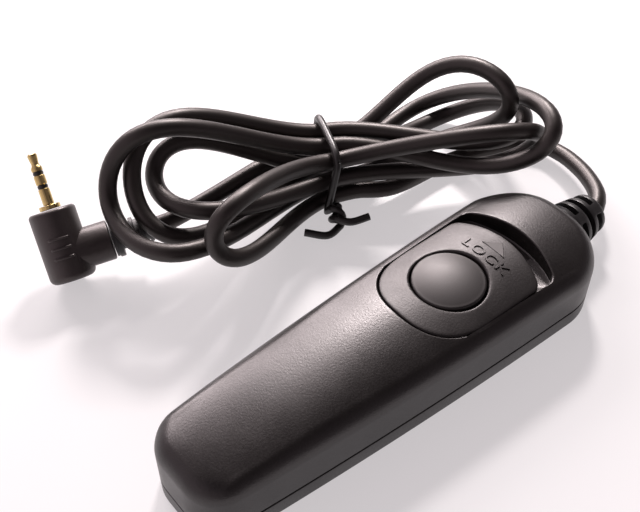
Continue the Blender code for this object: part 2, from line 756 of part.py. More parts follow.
def build_wires():
    start = FAR_END - WALL - FIT - RELIEF_FLANGE_LENGTH - FIT
    tail = STACK_Y - STACK_LENGTH / 2 - LEAF_TAIL - FIT
    lanes = [
        ("common_wire", "white", -1.6, -9.0, -2.0, 6.5, "common_leaf"),
        ("focus_wire", "yellow", 1.6, 9.0, 0.2, 9.5, "focus_leaf"),
        ("shutter_wire", "red", 0.0, 7.2, 2.2, 6.0, "shutter_leaf"),
    ]
    low = FLOOR + FIT + WIRE_DIAMETER
    run = start - STACK_Y - STACK_LENGTH / 2
    for name, material, first, lane, last, turn, leaf in lanes:
        level = LEAF_LEVELS[leaf] + LEAF_THICKNESS / 2
        points = [
            (first, start, RELIEF_HEIGHT),
            (first, start - 2.5, RELIEF_HEIGHT),
            (first * 1.6, start - run * 0.2, RELIEF_HEIGHT - 1.5),
            (lane * 0.85, start - run * 0.4, low + 0.6),
            (lane, start - run * 0.6, low),
            (lane, STACK_Y + STACK_LENGTH / 2, low),
            (lane, tail + 2.0, low),
            (lane * 0.9, tail - turn + 2.0, low + 0.4),
            ((lane + last) / 2, tail - turn, (low + level) / 2),
            (last, tail - turn + 2.5, level),
            (last, tail - 1.5, level),
            (last, tail, level),
        ]
        tube(name, smooth_route(points, 3.0), WIRE_DIAMETER, 1, material)


# Cable
def waist_axes():
    turn = math.radians(WAIST_TURN)
    along = Vector((math.cos(turn), math.sin(turn), 0.0))
    across = Vector((-math.sin(turn), math.cos(turn), 0.0))
    return along, across


def strand_place(column, row):
    along, across = waist_axes()
    return Vector((*WAIST, STRAND_LOW + STRAND_STEP * row)) + across * (STRAND_STEP * column)


def loop_point(loop, t):
    # out from the waist and back: reach along the hank, width across its tilted plane
    _, side, first, last, reach, width, tilt, shift, lift, belly, belly_up = loop
    along, across = waist_axes()
    s = math.sin(math.pi * t)
    k = math.cos(math.pi * t)
    swell = 4 * (s ** 2 - s ** 4)
    spread = WIDTH_FACTOR * width * s ** 1.5 * k
    lean = math.radians(tilt)
    base = strand_place(*first).lerp(strand_place(*last), (1 - k) / 2)
    sideways = shift * s ** 2 + belly * swell + spread * math.cos(lean)
    upward = lift * s ** 2 + belly_up * swell + spread * math.sin(lean)
    return base + along * (side * reach * s) + across * sideways + Vector((0.0, 0.0, upward))


def hank_points(count):
    points = []
    for loop in LOOPS:
        points += [loop_point(loop, k / count) for k in range(count)]
    points.append(loop_point(LOOPS[-1], 1.0))
    return points


def least_gap(points, diameter):
    run = [0.0]
    for first, second in zip(points, points[1:]):
        run.append(run[-1] + (second - first).length)
    least = math.inf
    for i, first in enumerate(points):
        for j in range(i + 1, len(points)):
            if run[j] - run[i] > 3.5 * diameter:
                least = min(least, (first - points[j]).length)
    return least - diameter, run[-1]


def build_cable():
    along, _ = waist_axes()
    fine = hank_points(72)
    gap, length = least_gap(fine, CABLE_DIAMETER)
    print("hank: length %.0f mm, least gap to itself %.2f mm" % (length, gap))
    hank = hank_points(LOOP_STEPS)
    # both ends run straight for a diameter, square to the leads that they meet
    hank[0:2] = [hank[0] + along * (FIT / 2), hank[0] + along * CABLE_DIAMETER]
    hank[-2:] = [hank[-1] - along * CABLE_DIAMETER, hank[-1] - along * (FIT / 2)]
    tube("cable_hank", hank, CABLE_DIAMETER, 1, "jacket")
    last = strand_place(-1, 0)
    first = Vector((0.0, RELIEF_TIP + FIT, RELIEF_HEIGHT))
    lead = [first] + [Vector(p) for p in HANDSET_LEAD]
    lead += [last + along * 14.0 + Vector((0.5, 0.0, -1.0)), last + along * 5.0,
             last + along * (FIT / 2)]
    tube("handset_lead", lead_route(lead, CABLE_DIAMETER), CABLE_DIAMETER, 2, "jacket")
    frame = plug_frame()
    boot_end = STUB_REACH + FIT + BOOT_LENGTH + FIT
    start = strand_place(1, 1)
    plug = [frame @ (Vector((boot_end, 0.0, 0.0)) * MM) / MM,
            frame @ (Vector((boot_end + 4.5, 0.0, 0.0)) * MM) / MM]
    plug += [Vector(p) for p in PLUG_LEAD]
    plug += [start - along * 12.0, start - along * 5.0, start - along * (FIT / 2)]
    tube("plug_lead", lead_route(plug, CABLE_DIAMETER), CABLE_DIAMETER, 2, "jacket")


def build_tie():
    # wire once round the strands, its ends twisted together in front, then bent apart
    along, across = waist_axes()
    middle = strand_place(0, 1)
    half = STRAND_STEP + CABLE_DIAMETER / 2 + 2 * FIT + TIE_DIAMETER / 2
    pass_gap = 1.3
    power = 2 / 5.0
    ring = []
    for k in range(41):
        turn = math.radians(-158.0 + 316.0 * k / 40)
        c = math.cos(turn)
        s = math.sin(turn)
        x = math.copysign(abs(c) ** power, c) * half
        z = math.copysign(abs(s) ** power, s) * half
        ring.append(middle + across * x + Vector((0.0, 0.0, -z))
                    + along * (pass_gap * (2 * k / 40 - 1) - KNOT_SHIFT * (k / 40) ** 2))
    knot = middle - across * (half + 1.0) - along * KNOT_SHIFT + Vector((0.0, 0.0, -half * 0.55))
    outward = (-across + Vector((0.0, 0.0, -0.15))).normalized()
    upward = along.cross(outward)
    first_strand = []
    second_strand = []
    for k in range(9):
        turn = math.radians(270.0 * k / 8)
        swing = along * math.cos(turn) + upward * math.sin(turn)
        centre = knot + outward * (0.6 * k)
        first_strand.append(centre - swing * pass_gap)
        second_strand.append(centre + swing * pass_gap)
    left_tail = [first_strand[-1] + outward * 1.6 - along * 3.4,
                 first_strand[-1] - outward * 0.6 - along * 8.2]
    right_tail = [second_strand[-1] + outward * 1.2 + along * 2.6,
                  second_strand[-1] + outward * 1.2 + along * 6.8 + Vector((0.0, 0.0, 0.5))]
    path = list(reversed(left_tail)) + list(reversed(first_strand)) + ring + second_strand + right_tail
    gap, length = least_gap(path, TIE_DIAMETER)
    print("twist tie: length %.0f mm, least gap to itself %.2f mm" % (length, gap))
    tube("twist_tie", path, TIE_DIAMETER, 1, "rubber")


# Plug
def plug_frame():
    up = Vector(PIN_DIRECTION).normalized()
    out = Vector(STUB_DIRECTION)
    out = (out - up * out.dot(up)).normalized()
    side = up.cross(out)
    turn = Matrix((out, side, up)).transposed().to_4x4()
    return Matrix.Translation(Vector(PLUG_CENTRE) * MM) @ turn


def rounded_corner(radius, height, size, steps, top):
    turns = [math.pi / 2 * k / steps for k in range(steps + 1)]
    if top:
        return [(radius - size + size * math.sin(t), height - size + size * math.cos(t)) for t in turns]
    return [(radius - size + size * math.cos(t), height + size - size * math.sin(t)) for t in turns]


def build_plug():
    frame = plug_frame()
    holder = bpy.data.objects.new("plug_place", None)
    PARTS.objects.link(holder)
    holder.matrix_world = frame
    bpy.context.view_layer.update()
    out_frame = Matrix.Rotation(math.pi / 2, 4, "Y")

    def place(name, mesh, material):
        piece = add_part(name, mesh, material)
        piece.parent = holder
        smooth_round(piece)
        return piece

    profile = [(0.0, PLUG_TOP)]
    profile += rounded_corner(PLUG_RADIUS, PLUG_TOP, PLUG_TOP_ROUND, 3, True)
    profile += rounded_corner(PLUG_RADIUS, -PLUG_BOTTOM, PLUG_ROUND, 4, False)
    profile += [(0.0, -PLUG_BOTTOM)]
    body = place("plug_body", turned_mesh("plug_body", profile, 36), "shell")
    stub_profile = [(0.0, STUB_REACH), (STUB_RADIUS - 0.3, STUB_REACH), (STUB_RADIUS, STUB_REACH - 0.3),
                    (STUB_RADIUS, 0.5), (0.0, 0.5)]
    stub = add_cutter("plug_stub", turned_mesh("plug_stub", stub_profile, 32, out_frame))
    stub.parent = holder
    join(body, stub)

    start = STUB_REACH + FIT
    disc = start + 0.6
    ribs_start = disc + BOOT_DISC_THICKNESS
    end = start + BOOT_LENGTH
    step = (end - ribs_start) / (2 * BOOT_RIBS)
    boot = [(0.0, end)]
    for k in range(2 * BOOT_RIBS):
        radius = BOOT_RIB if k % 2 == 0 else BOOT_NECK
        radius -= 0.35 * (1 - k / (2 * BOOT_RIBS))
        boot += [(radius, end - step * k), (radius, end - step * (k + 1))]
    boot += [(BOOT_DISC, ribs_start), (BOOT_DISC, disc), (BOOT_NECK, disc), (BOOT_NECK, start), (0.0, start)]
    place("plug_boot", turned_mesh("plug_boot", boot, 24, out_frame), "rubber")

    level = PLUG_TOP + PIN_FIT
    rings = [
        ("plug_collar", "gold", COLLAR_RADIUS, COLLAR_HEIGHT),
        ("sleeve_contact", "gold", PIN_RADIUS, SLEEVE_LENGTH),
        ("rear_insulator", "insulator", PIN_RADIUS - 0.08, INSULATOR_LENGTH),
        ("ring_contact", "gold", PIN_RADIUS, RING_LENGTH),
        ("front_insulator", "insulator", PIN_RADIUS - 0.08, INSULATOR_LENGTH),
    ]
    for name, material, radius, height in rings:
        bevel = 0.1
        profile = [(0.0, level + height), (radius - bevel, level + height), (radius, level + height - bevel),
                   (radius, level + bevel), (radius - bevel, level), (0.0, level)]
        place(name, turned_mesh(name, profile, 24), material)
        level += height + PIN_FIT
    top = level + TIP_LENGTH
    profile = [(0.0, top), (0.7, top), (0.98, top - 0.2), (1.08, top - 0.6), (1.02, top - 1.1),
               (TIP_NECK, top - 2.2), (TIP_NECK, top - 2.6), (PIN_RADIUS, top - 3.2),
               (PIN_RADIUS, level), (0.0, level)]
    place("tip_contact", turned_mesh("tip_contact", profile, 24), "gold")


def main():
    seat = relief_seat()
    for shell in (build_top_shell(seat), build_bottom_shell(seat), build_slide_plate()):
        smooth_round(shell, 30.0)
    build_button()
    build_contacts()
    build_case_screws()
    build_strain_relief()
    build_wires()
    build_cable()
    build_tie()
    build_plug()


main()
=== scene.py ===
import math
from bisect import bisect_right

import bmesh
import bpy
from mathutils import Matrix, Vector


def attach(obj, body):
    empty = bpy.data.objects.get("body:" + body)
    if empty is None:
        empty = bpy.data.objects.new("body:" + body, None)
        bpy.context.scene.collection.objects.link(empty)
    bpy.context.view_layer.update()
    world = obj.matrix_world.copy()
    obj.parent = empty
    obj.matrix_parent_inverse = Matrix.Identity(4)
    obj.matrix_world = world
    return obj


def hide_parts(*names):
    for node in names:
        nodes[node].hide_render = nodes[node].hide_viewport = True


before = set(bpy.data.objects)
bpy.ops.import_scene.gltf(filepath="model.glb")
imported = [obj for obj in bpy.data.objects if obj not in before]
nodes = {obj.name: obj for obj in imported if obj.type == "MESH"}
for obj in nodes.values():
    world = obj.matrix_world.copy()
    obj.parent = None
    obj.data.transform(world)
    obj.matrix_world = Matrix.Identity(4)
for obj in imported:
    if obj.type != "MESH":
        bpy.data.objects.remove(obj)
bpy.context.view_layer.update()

mm = 0.001  # sizes below are millimetres
scene = bpy.context.scene
scene.view_settings.view_transform = "Standard"
print("frame loaded:", len(nodes), "nodes")


# shader maths: a socket that adds, takes away and multiplies
class Wire:
    def __init__(self, tree, socket=None):
        self.tree = tree
        self.socket = socket

    def add(self, kind, settings=None, sockets=None, out=0):
        node = self.tree.nodes.new("ShaderNode" + kind)
        for name, value in (settings or {}).items():
            if name == "stops":
                for stop, (place, shade) in zip(node.color_ramp.elements, value):
                    stop.position = place
                    stop.color = (shade, shade, shade, 1)
            else:
                setattr(node, name, value)
        for key, value in (sockets or {}).items():
            if isinstance(value, Wire):
                self.tree.links.new(value.socket, node.inputs[key])
            else:
                node.inputs[key].default_value = value
        return Wire(self.tree, node.outputs[out])

    def maths(self, operation, first, second):
        return self.add("Math", {"operation": operation}, {0: first, 1: second})

    def __add__(self, other):
        return self.maths("ADD", self, other)

    def __sub__(self, other):
        return self.maths("SUBTRACT", self, other)

    def __rsub__(self, other):
        return self.maths("SUBTRACT", other, self)

    def __mul__(self, other):
        return self.maths("MULTIPLY", self, other)

    __radd__ = __add__
    __rmul__ = __mul__

    def feed(self, node, name):
        self.tree.links.new(self.socket, node.inputs[name])


def toned(colour, factor):
    return tuple(channel * factor for channel in colour) + (1.0,)


def newFinish(name):
    material = bpy.data.materials.new(name)
    material.use_nodes = True
    tree = material.node_tree
    return material, tree.nodes["Principled BSDF"], Wire(tree)


# what all moulded finishes share, and all metal ones
moulded = {"detail": 3.0, "coarseness": 0.6, "cloudDetail": 2.0, "cloudShare": 0.7, "gloss": 0.7,
           "specks": [(0.62, 0.0), (0.78, 1.0)]}
metal = {"detail": 3.0, "cloud": 900.0, "cloudDetail": 2.0, "lineShare": 0.5, "dark": 0.82, "light": 1.08,
         "lineRough": 0.12, "cloudRough": 0.08, "bump": 0.15, "depth": 0.01}


def mouldedFinish(look):
    # moulded plastic or rubber: fine spark-eroded grain, cloudy tone and sheen
    material, shader, start = newFinish(look["name"])
    place = start.add("TexCoord", out="Object")
    grain = start.add("TexNoise", {}, {"Vector": place, "Scale": look["grain"], "Detail": moulded["detail"],
                                       "Roughness": moulded["coarseness"]})
    cloud = start.add("TexNoise", {}, {"Vector": place, "Scale": look["cloud"],
                                       "Detail": moulded["cloudDetail"]})
    speck = start.add("ValToRGB", {"stops": moulded["specks"]}, {0: grain})
    tone = cloud * moulded["cloudShare"] + grain * (1 - moulded["cloudShare"])
    colour = start.add("Mix", {"data_type": "RGBA"}, {0: tone, 6: toned(look["colour"], 1 - look["vary"]),
                                                       7: toned(look["colour"], 1 + look["vary"])}, out=2)
    colour.feed(shader, "Base Color")
    rough = look["rough"] + (cloud - 0.5) * look["roughVary"] + (grain - 0.5) * look["roughVary"]
    rough = rough - speck * look.get("sparkle", 0.0)
    rough.feed(shader, "Roughness")
    bump = start.add("Bump", {}, {"Height": grain, "Strength": look["bump"], "Distance": look["depth"] * mm},
                     out="Normal")
    bump.feed(shader, "Normal")
    shader.inputs["Specular IOR Level"].default_value = moulded["gloss"]
    shader.inputs["Specular Tint"].default_value = (*look.get("tint", (1.0, 1.0, 1.0)), 1.0)
    return material


def metalFinish(look):
    # plated or rolled metal: turned lines or brushing, with slightly uneven sheen
    material, shader, start = newFinish(look["name"])
    place = start.add("TexCoord", out="Object")
    spread = start.add("Mapping", {}, {"Vector": place, "Scale": look["stretch"]})
    lines = start.add("TexNoise", {}, {"Vector": spread, "Scale": look["grain"], "Detail": metal["detail"]})
    cloud = start.add("TexNoise", {}, {"Vector": place, "Scale": metal["cloud"],
                                       "Detail": metal["cloudDetail"]})
    tone = lines * metal["lineShare"] + cloud * (1 - metal["lineShare"])
    colour = start.add("Mix", {"data_type": "RGBA"}, {0: tone, 6: toned(look["colour"], metal["dark"]),
                                                       7: toned(look["colour"], metal["light"])}, out=2)
    colour.feed(shader, "Base Color")
    rough = look["rough"] + (lines - 0.5) * metal["lineRough"] + (cloud - 0.5) * metal["cloudRough"]
    rough.feed(shader, "Roughness")
    shader.inputs["Metallic"].default_value = 1.0
    bump = start.add("Bump", {}, {"Height": lines, "Strength": metal["bump"],
                                  "Distance": metal["depth"] * mm}, out="Normal")
    bump.feed(shader, "Normal")
    return material


shellLook = {"name": "shell grain", "colour": (0.0054, 0.0042, 0.0039), "vary": 0.30, "grain": 2400.0,
             "cloud": 90.0, "rough": 0.38, "roughVary": 0.18, "bump": 0.55, "depth": 0.06,
             "tint": (1.0, 0.95, 0.955), "sparkle": 0.06}
wireLook = {"grain": 2500.0, "cloud": 150.0, "rough": 0.42, "roughVary": 0.06, "bump": 0.08, "depth": 0.02}
mouldedLooks = {
    "shell": shellLook,
    "plate": {**shellLook, "name": "plate grain", "cloud": 110.0, "rough": 0.47},
    "button": {"name": "button satin", "colour": (0.0062, 0.0052, 0.0050), "vary": 0.2, "grain": 3400.0,
               "cloud": 140.0, "rough": 0.48, "roughVary": 0.08, "bump": 0.14, "depth": 0.03,
               "tint": (1.0, 0.95, 0.95)},
    "cable": {"name": "cable jacket", "colour": (0.0082, 0.0059, 0.0051), "vary": 0.25, "grain": 1900.0,
              "cloud": 60.0, "rough": 0.45, "roughVary": 0.10, "bump": 0.14, "depth": 0.04,
              "tint": (1.0, 0.92, 0.89)},
    "tie": {"name": "tie coating", "colour": (0.0090, 0.0070, 0.0066), "vary": 0.2, "grain": 2400.0,
            "cloud": 120.0, "rough": 0.40, "roughVary": 0.08, "bump": 0.10, "depth": 0.03},
    "relief": {"name": "relief rubber", "colour": (0.0070, 0.0062, 0.0064), "vary": 0.25, "grain": 2200.0,
               "cloud": 100.0, "rough": 0.46, "roughVary": 0.08, "bump": 0.2, "depth": 0.03},
    "plug": {"name": "plug shell", "colour": (0.0320, 0.0262, 0.0254), "vary": 0.35, "grain": 1500.0,
             "cloud": 130.0, "rough": 0.42, "roughVary": 0.16, "bump": 0.60, "depth": 0.05,
             "tint": (1.0, 0.91, 0.90), "sparkle": 0.08},
    "insulator": {"name": "insulator band", "colour": (0.012, 0.010, 0.009), "vary": 0.2, "grain": 3000.0,
                  "cloud": 300.0, "rough": 0.30, "roughVary": 0.06, "bump": 0.05, "depth": 0.01},
    "base": {"name": "contact base", "colour": (0.50, 0.47, 0.40), "vary": 0.06, "grain": 2500.0,
             "cloud": 150.0, "rough": 0.5, "roughVary": 0.08, "bump": 0.1, "depth": 0.03},
    "red": {**wireLook, "name": "wire red", "colour": (0.45, 0.03, 0.025), "vary": 0.08},
    "white": {**wireLook, "name": "wire white", "colour": (0.70, 0.70, 0.68), "vary": 0.05},
    "yellow": {**wireLook, "name": "wire yellow", "colour": (0.65, 0.46, 0.05), "vary": 0.06},
}
metalLooks = {
    "gold": {"name": "plated pin", "colour": (0.66, 0.50, 0.22), "rough": 0.22, "grain": 500.0,
             "stretch": (1.0, 1.0, 4.0)},
    "brass": {"name": "rolled strip", "colour": (0.70, 0.52, 0.26), "rough": 0.34, "grain": 400.0,
              "stretch": (6.0, 0.4, 1.0)},
    "steel": {"name": "zinc screw", "colour": (0.55, 0.55, 0.57), "rough": 0.33, "grain": 600.0,
              "stretch": (1.0, 1.0, 5.0)},
}
finishes = {key: mouldedFinish(look) for key, look in mouldedLooks.items()}
finishes.update({key: metalFinish(look) for key, look in metalLooks.items()})
print("finishes made:", len(finishes))


# camera at the photograph's angle, turned about the vertical and tilted down
view = {"eye": (87.52, -89.89, 168.36), "turn": 50.551, "tilt": 46.99, "lens": 56.25, "sensor": 36.0,
        "clipStart": 10.0}


def placeCamera():
    data = bpy.data.cameras.new("camera")
    data.lens = view["lens"]
    data.sensor_width = view["sensor"]
    data.clip_start = view["clipStart"] * mm
    camera = bpy.data.objects.new("camera", data)
    scene.collection.objects.link(camera)
    turn = Matrix.Rotation(math.radians(view["turn"]), 4, "Z")
    tilt = Matrix.Rotation(math.radians(90.0 - view["tilt"]), 4, "X")
    camera.matrix_world = Matrix.Translation(Vector(view["eye"]) * mm) @ turn @ tilt
    scene.camera = camera


studio = {
    "floorSize": 3000.0, "floorDrop": 0.05, "floorColour": (0.94, 0.94, 0.94), "floorRough": 0.3,
    "floorShine": 0.2, "sheetGlow": 0.52, "sheetColour": (1.0, 0.955, 0.975),
    "skyColour": (1.0, 0.85, 0.91), "overhead": 0.04, "sides": 0.14, "sidesFade": (0.45, 0.85),
    "fills": [((0.772, -0.635, 0.0), 0.04), ((-0.635, -0.772, 0.0), 0.45)],  # heading and level
    "fillFade": (-0.2, 0.7), "aim": (-20.0, 10.0, 0.0),
    "lamps": [  # name, place, width, height, watts, colour
        ("left softbox", (-583.0, 145.0, 295.0), 440.0, 280.0, 4.3, (1.0, 0.90, 0.91)),
        ("back key", (-387.0, 357.0, 409.0), 100.0, 90.0, 4.3, (1.0, 0.92, 0.915)),
    ],
}


def makeFloor():
    half = studio["floorSize"] / 2 * mm
    corners = [(-half, -half, 0), (half, -half, 0), (half, half, 0), (-half, half, 0)]
    data = bpy.data.meshes.new("floor")
    data.from_pydata(corners, [], [(0, 1, 2, 3)])
    floor = bpy.data.objects.new("floor", data)
    scene.collection.objects.link(floor)
    floor.location.z = -studio["floorDrop"] * mm
    material, shader, start = newFinish("floor sheet")
    shader.inputs["Base Color"].default_value = (*studio["floorColour"], 1)
    shader.inputs["Roughness"].default_value = studio["floorRough"]
    shader.inputs["Specular IOR Level"].default_value = studio["floorShine"]
    seen = start.add("LightPath", out="Is Camera Ray") + start.add("LightPath", out="Is Glossy Ray")
    seen = seen + start.add("LightPath", out="Is Transmission Ray")
    glow = start.add("Emission", {}, {"Color": (*studio["sheetColour"], 1), "Strength": 1.0})
    sheet = start.add("MixShader", {}, {0: seen * studio["sheetGlow"],
                                        1: Wire(start.tree, shader.outputs[0]), 2: glow})
    sheet.feed(start.tree.nodes["Material Output"], "Surface")
    data.materials.append(material)


def lightSky():
    # dim overhead, brighter towards the horizon, with a soft fill from each heading
    world = bpy.data.worlds.new("studio")
    world.use_nodes = True
    scene.world = world
    sky = world.node_tree.nodes["Background"]
    sky.inputs["Color"].default_value = (*studio["skyColour"], 1)
    start = Wire(world.node_tree)
    soft = {"interpolation_type": "SMOOTHSTEP"}
    heading = start.add("TexCoord", out="Generated")
    height = start.add("SeparateXYZ", {}, {0: heading}, out="Z")
    fadeFrom, fadeTo = studio["sidesFade"]
    low = start.add("MapRange", soft, {0: height, 1: fadeFrom, 2: fadeTo, 3: 1.0, 4: 0.0})
    glow = studio["overhead"] + low * studio["sides"]
    fadeFrom, fadeTo = studio["fillFade"]
    for side, amount in studio["fills"]:
        facing = start.add("VectorMath", {"operation": "DOT_PRODUCT"}, {0: heading, 1: side}, out="Value")
        glow = glow + start.add("MapRange", soft, {0: facing, 1: fadeFrom, 2: fadeTo, 3: 0.0, 4: amount})
    glow.feed(sky, "Strength")


def hangLamps():
    for name, place, width, height, watts, colour in studio["lamps"]:
        lamp = bpy.data.lights.new(name, "AREA")
        lamp.shape = "RECTANGLE"
        lamp.size = width * mm
        lamp.size_y = height * mm
        lamp.energy = watts
        lamp.color = colour
        item = bpy.data.objects.new(name, lamp)
        scene.collection.objects.link(item)
        toward = Vector(studio["aim"]) - Vector(place)
        turn = toward.to_track_quat("-Z", "Y").to_matrix().to_4x4()
        item.matrix_world = Matrix.Translation(Vector(place) * mm) @ turn


placeCamera()
makeFloor()
lightSky()
hangLamps()
print("camera and studio placed")


# shared helpers for the pieces
def arcPoints(centre, radius, start, stop, steps):
    turns = [math.radians(start + (stop - start) * k / steps) for k in range(steps + 1)]
    return [(centre[0] + radius * math.cos(t), centre[1] + radius * math.sin(t)) for t in turns]


def quarterTurns(steps):
    return [math.pi / 2 * k / steps for k in range(steps + 1)]


def smoothRoute(points, step, fineSteps=40):
    # even points on a smooth curve through the route's own points
    knots = [Vector(p) for p in points]
    padded = [2 * knots[0] - knots[1]] + knots + [2 * knots[-1] - knots[-2]]
    fine = []
    for before, first, second, after in zip(padded, padded[1:], padded[2:], padded[3:]):
        for k in range(fineSteps):
            t = k / fineSteps
            fine.append(0.5 * (2 * first + (second - before) * t
                               + (2 * before - 5 * first + 4 * second - after) * t ** 2
                               + (3 * first - before - 3 * second + after) * t ** 3))
    fine.append(knots[-1])
    run = [0.0]
    for first, second in zip(fine, fine[1:]):
        run.append(run[-1] + (second - first).length)
    count = max(3, round(run[-1] / step))
    route = []
    index = 0
    for k in range(count + 1):
        goal = run[-1] * k / count
        while index < len(run) - 2 and run[index + 1] < goal:
            index += 1
        span = run[index + 1] - run[index]
        route.append(fine[index].lerp(fine[index + 1], (goal - run[index]) / span if span else 0.0))
    return route


def polyCurve(name, places):
    curve = bpy.data.curves.new(name, "CURVE")
    curve.dimensions = "3D"
    line = curve.splines.new("POLY")
    line.points.add(len(places) - 1)
    for knot, place in zip(line.points, places):
        knot.co = (*(place * mm), 1)
    line.use_smooth = True
    return curve


def addMaker(name, data):
    item = bpy.data.objects.new(name, data)
    scene.collection.objects.link(item)
    return item


def addPiece(name, data, finish, body, replaced=(), smooth=35.0):
    if isinstance(data, bpy.types.Mesh):
        data.shade_smooth()
        data.set_sharp_from_angle(angle=math.radians(smooth))
    data.materials.clear()
    data.materials.append(finishes[finish])
    piece = addMaker(name, data)
    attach(piece, body)
    if replaced:
        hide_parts(*replaced)
    return piece


def skinRings(form, rings, joinEnds=False):
    # faces between rings of equal counts
    made = [[form.verts.new(Vector(p) * mm) for p in ring] for ring in rings]
    pairs = list(zip(made, made[1:]))
    if joinEnds:
        pairs.append((made[-1], made[0]))
    for low, high in pairs:
        for k in range(len(low)):
            after = (k + 1) % len(low)
            form.faces.new((low[k], low[after], high[after], high[k]))
    return made


def formMesh(form, name):
    bmesh.ops.recalc_face_normals(form, faces=form.faces)
    mesh = bpy.data.meshes.new(name)
    form.to_mesh(mesh)
    form.free()
    return mesh


def loftMesh(name, rings, capped=False, joinEnds=False):
    form = bmesh.new()
    made = skinRings(form, rings, joinEnds)
    if capped:
        form.faces.new(made[0])
        form.faces.new(made[-1])
    return formMesh(form, name)


def turnedMesh(name, profile, sides):
    # profile of (radius, height) from the axis to the axis, turned about Z
    turns = [2 * math.pi * k / sides for k in range(sides)]
    rings = [[(radius * math.cos(t), radius * math.sin(t), height) for t in turns]
             for radius, height in profile[1:-1]]
    form = bmesh.new()
    made = skinRings(form, rings)
    for ring, (_, height) in ((made[0], profile[0]), (made[-1], profile[-1])):
        middle = form.verts.new((0, 0, height * mm))
        for k in range(sides):
            form.faces.new((ring[k], ring[(k + 1) % sides], middle))
    return formMesh(form, name)


def flatMesh(item):
    # the evaluated shape as a plain mesh, with the maker object removed
    bpy.context.view_layer.update()
    mesh = bpy.data.meshes.new_from_object(item.evaluated_get(bpy.context.evaluated_depsgraph_get()))
    bpy.data.objects.remove(item, do_unlink=True)
    return mesh


def barTree(name, sides, inRow=False):
    # node tree of a round bar along a path, or of a row of such bars
    inputs = [("Path", "NodeSocketGeometry"), ("Radius", "NodeSocketFloat"), ("Finish", "NodeSocketMaterial")]
    if inRow:
        inputs += [("Count", "NodeSocketInt"), ("Step", "NodeSocketFloat")]
    tree = bpy.data.node_groups.new(name, "GeometryNodeTree")
    sockets = {}
    for label, kind in inputs:
        sockets[label] = tree.interface.new_socket(label, in_out="INPUT", socket_type=kind).identifier
    tree.interface.new_socket("Geometry", in_out="OUTPUT", socket_type="NodeSocketGeometry")

    def join(first, output, second, entry):
        tree.links.new(first.outputs[output], second.inputs[entry])

    source = tree.nodes.new("NodeGroupInput")
    circle = tree.nodes.new("GeometryNodeCurvePrimitiveCircle")
    circle.inputs["Resolution"].default_value = sides
    skin = tree.nodes.new("GeometryNodeCurveToMesh")
    skin.inputs["Fill Caps"].default_value = True
    real = tree.nodes.new("GeometryNodeRealizeInstances")
    paint = tree.nodes.new("GeometryNodeSetMaterial")
    result = tree.nodes.new("NodeGroupOutput")
    join(source, "Radius", circle, "Radius")
    join(source, "Path", skin, "Curve")
    join(circle, "Curve", skin, "Profile Curve")
    if inRow:
        offset = tree.nodes.new("ShaderNodeCombineXYZ")
        row = tree.nodes.new("GeometryNodeMeshLine")
        row.mode = "OFFSET"
        copies = tree.nodes.new("GeometryNodeInstanceOnPoints")
        join(source, "Count", row, "Count")
        join(source, "Step", offset, "Z")
        join(offset, "Vector", row, "Offset")
        join(row, "Mesh", copies, "Points")
        join(skin, "Mesh", copies, "Instance")
        join(copies, "Instances", real, "Geometry")
    else:
        join(skin, "Mesh", real, "Geometry")
    join(real, "Geometry", paint, "Geometry")
    join(source, "Finish", paint, "Material")
    join(paint, "Geometry", result, 0)
    return tree, sockets


def growMesh(name, data, treeAndSockets, values):
    # run a node tree once on an object and keep the plain result
    tree, sockets = treeAndSockets
    item = addMaker(name, data)
    grower = item.modifiers.new("grow", "NODES")
    grower.node_group = tree
    for label, value in values.items():
        grower[sockets[label]] = value
    return flatMesh(item)


# cable: plug lead, tied hank and handset lead as one cord, on the route of its solids
cable = {
    "diameter": 4.0, "fit": 0.3, "relief": (0.0, 62.5, 7.0), "waist": (-48.4, 25.3), "waistTurn": 68.0,
    "strandStep": 5.4, "strandLow": 4.4, "widthFactor": 2.32, "loopSteps": 56, "routeStep": 2.0,
    "roundness": 6, "firstStrand": (1, 1), "lastStrand": (-1, 0), "bootRun": 4.5,
    "runIn": (12.0, 5.0), "runOut": (5.0, 14.0), "runOutShift": (0.5, 0.0, -1.0),
    "handsetLead": [(0.0, 64.6, 7.0), (-2.3, 68.0, 6.9), (-6.3, 71.0, 6.3), (-12.4, 74.0, 5.2),
                    (-20.0, 76.0, 3.8), (-27.3, 74.7, 2.8), (-32.8, 66.3, 2.4), (-36.7, 52.9, 2.5)],
    "plugLead": [(-55.8, -3.1, 10.9)],
    "loops": [
        # fitted to the photograph's edges: side, first and last strand, reach, half width, tilt,
        # tip shift and lift, belly across and up
        (1, (1, 1), (0, 0), 41.5, 8.6, 94.2, -9.4, 15.6, 9.2, -0.5),
        (-1, (0, 0), (0, 2), 52.6, -11.9, 20.5, -7.3, 8.6, -9.1, 9.3),
        (1, (0, 2), (1, 0), 47.0, -16.1, 0.2, -16.2, 14.9, 7.9, -8.2),
        (-1, (1, 0), (1, 2), 47.0, -11.3, 25.9, -11.6, 9.3, -3.5, 4.0),
        (1, (1, 2), (0, 1), 47.4, -16.3, -18.4, -2.2, 2.5, 1.4, -4.7),
        (-1, (0, 1), (-1, 1), 41.9, 7.7, 20.1, -0.5, 8.1, -3.2, 5.6),
        (1, (-1, 1), (-1, 2), 47.1, 7.5, -59.0, -7.0, 2.0, -3.3, 1.7),
        (-1, (-1, 2), (-1, 0), 33.9, 4.2, 75.8, -20.9, 9.9, -5.5, 3.0),
    ],
}
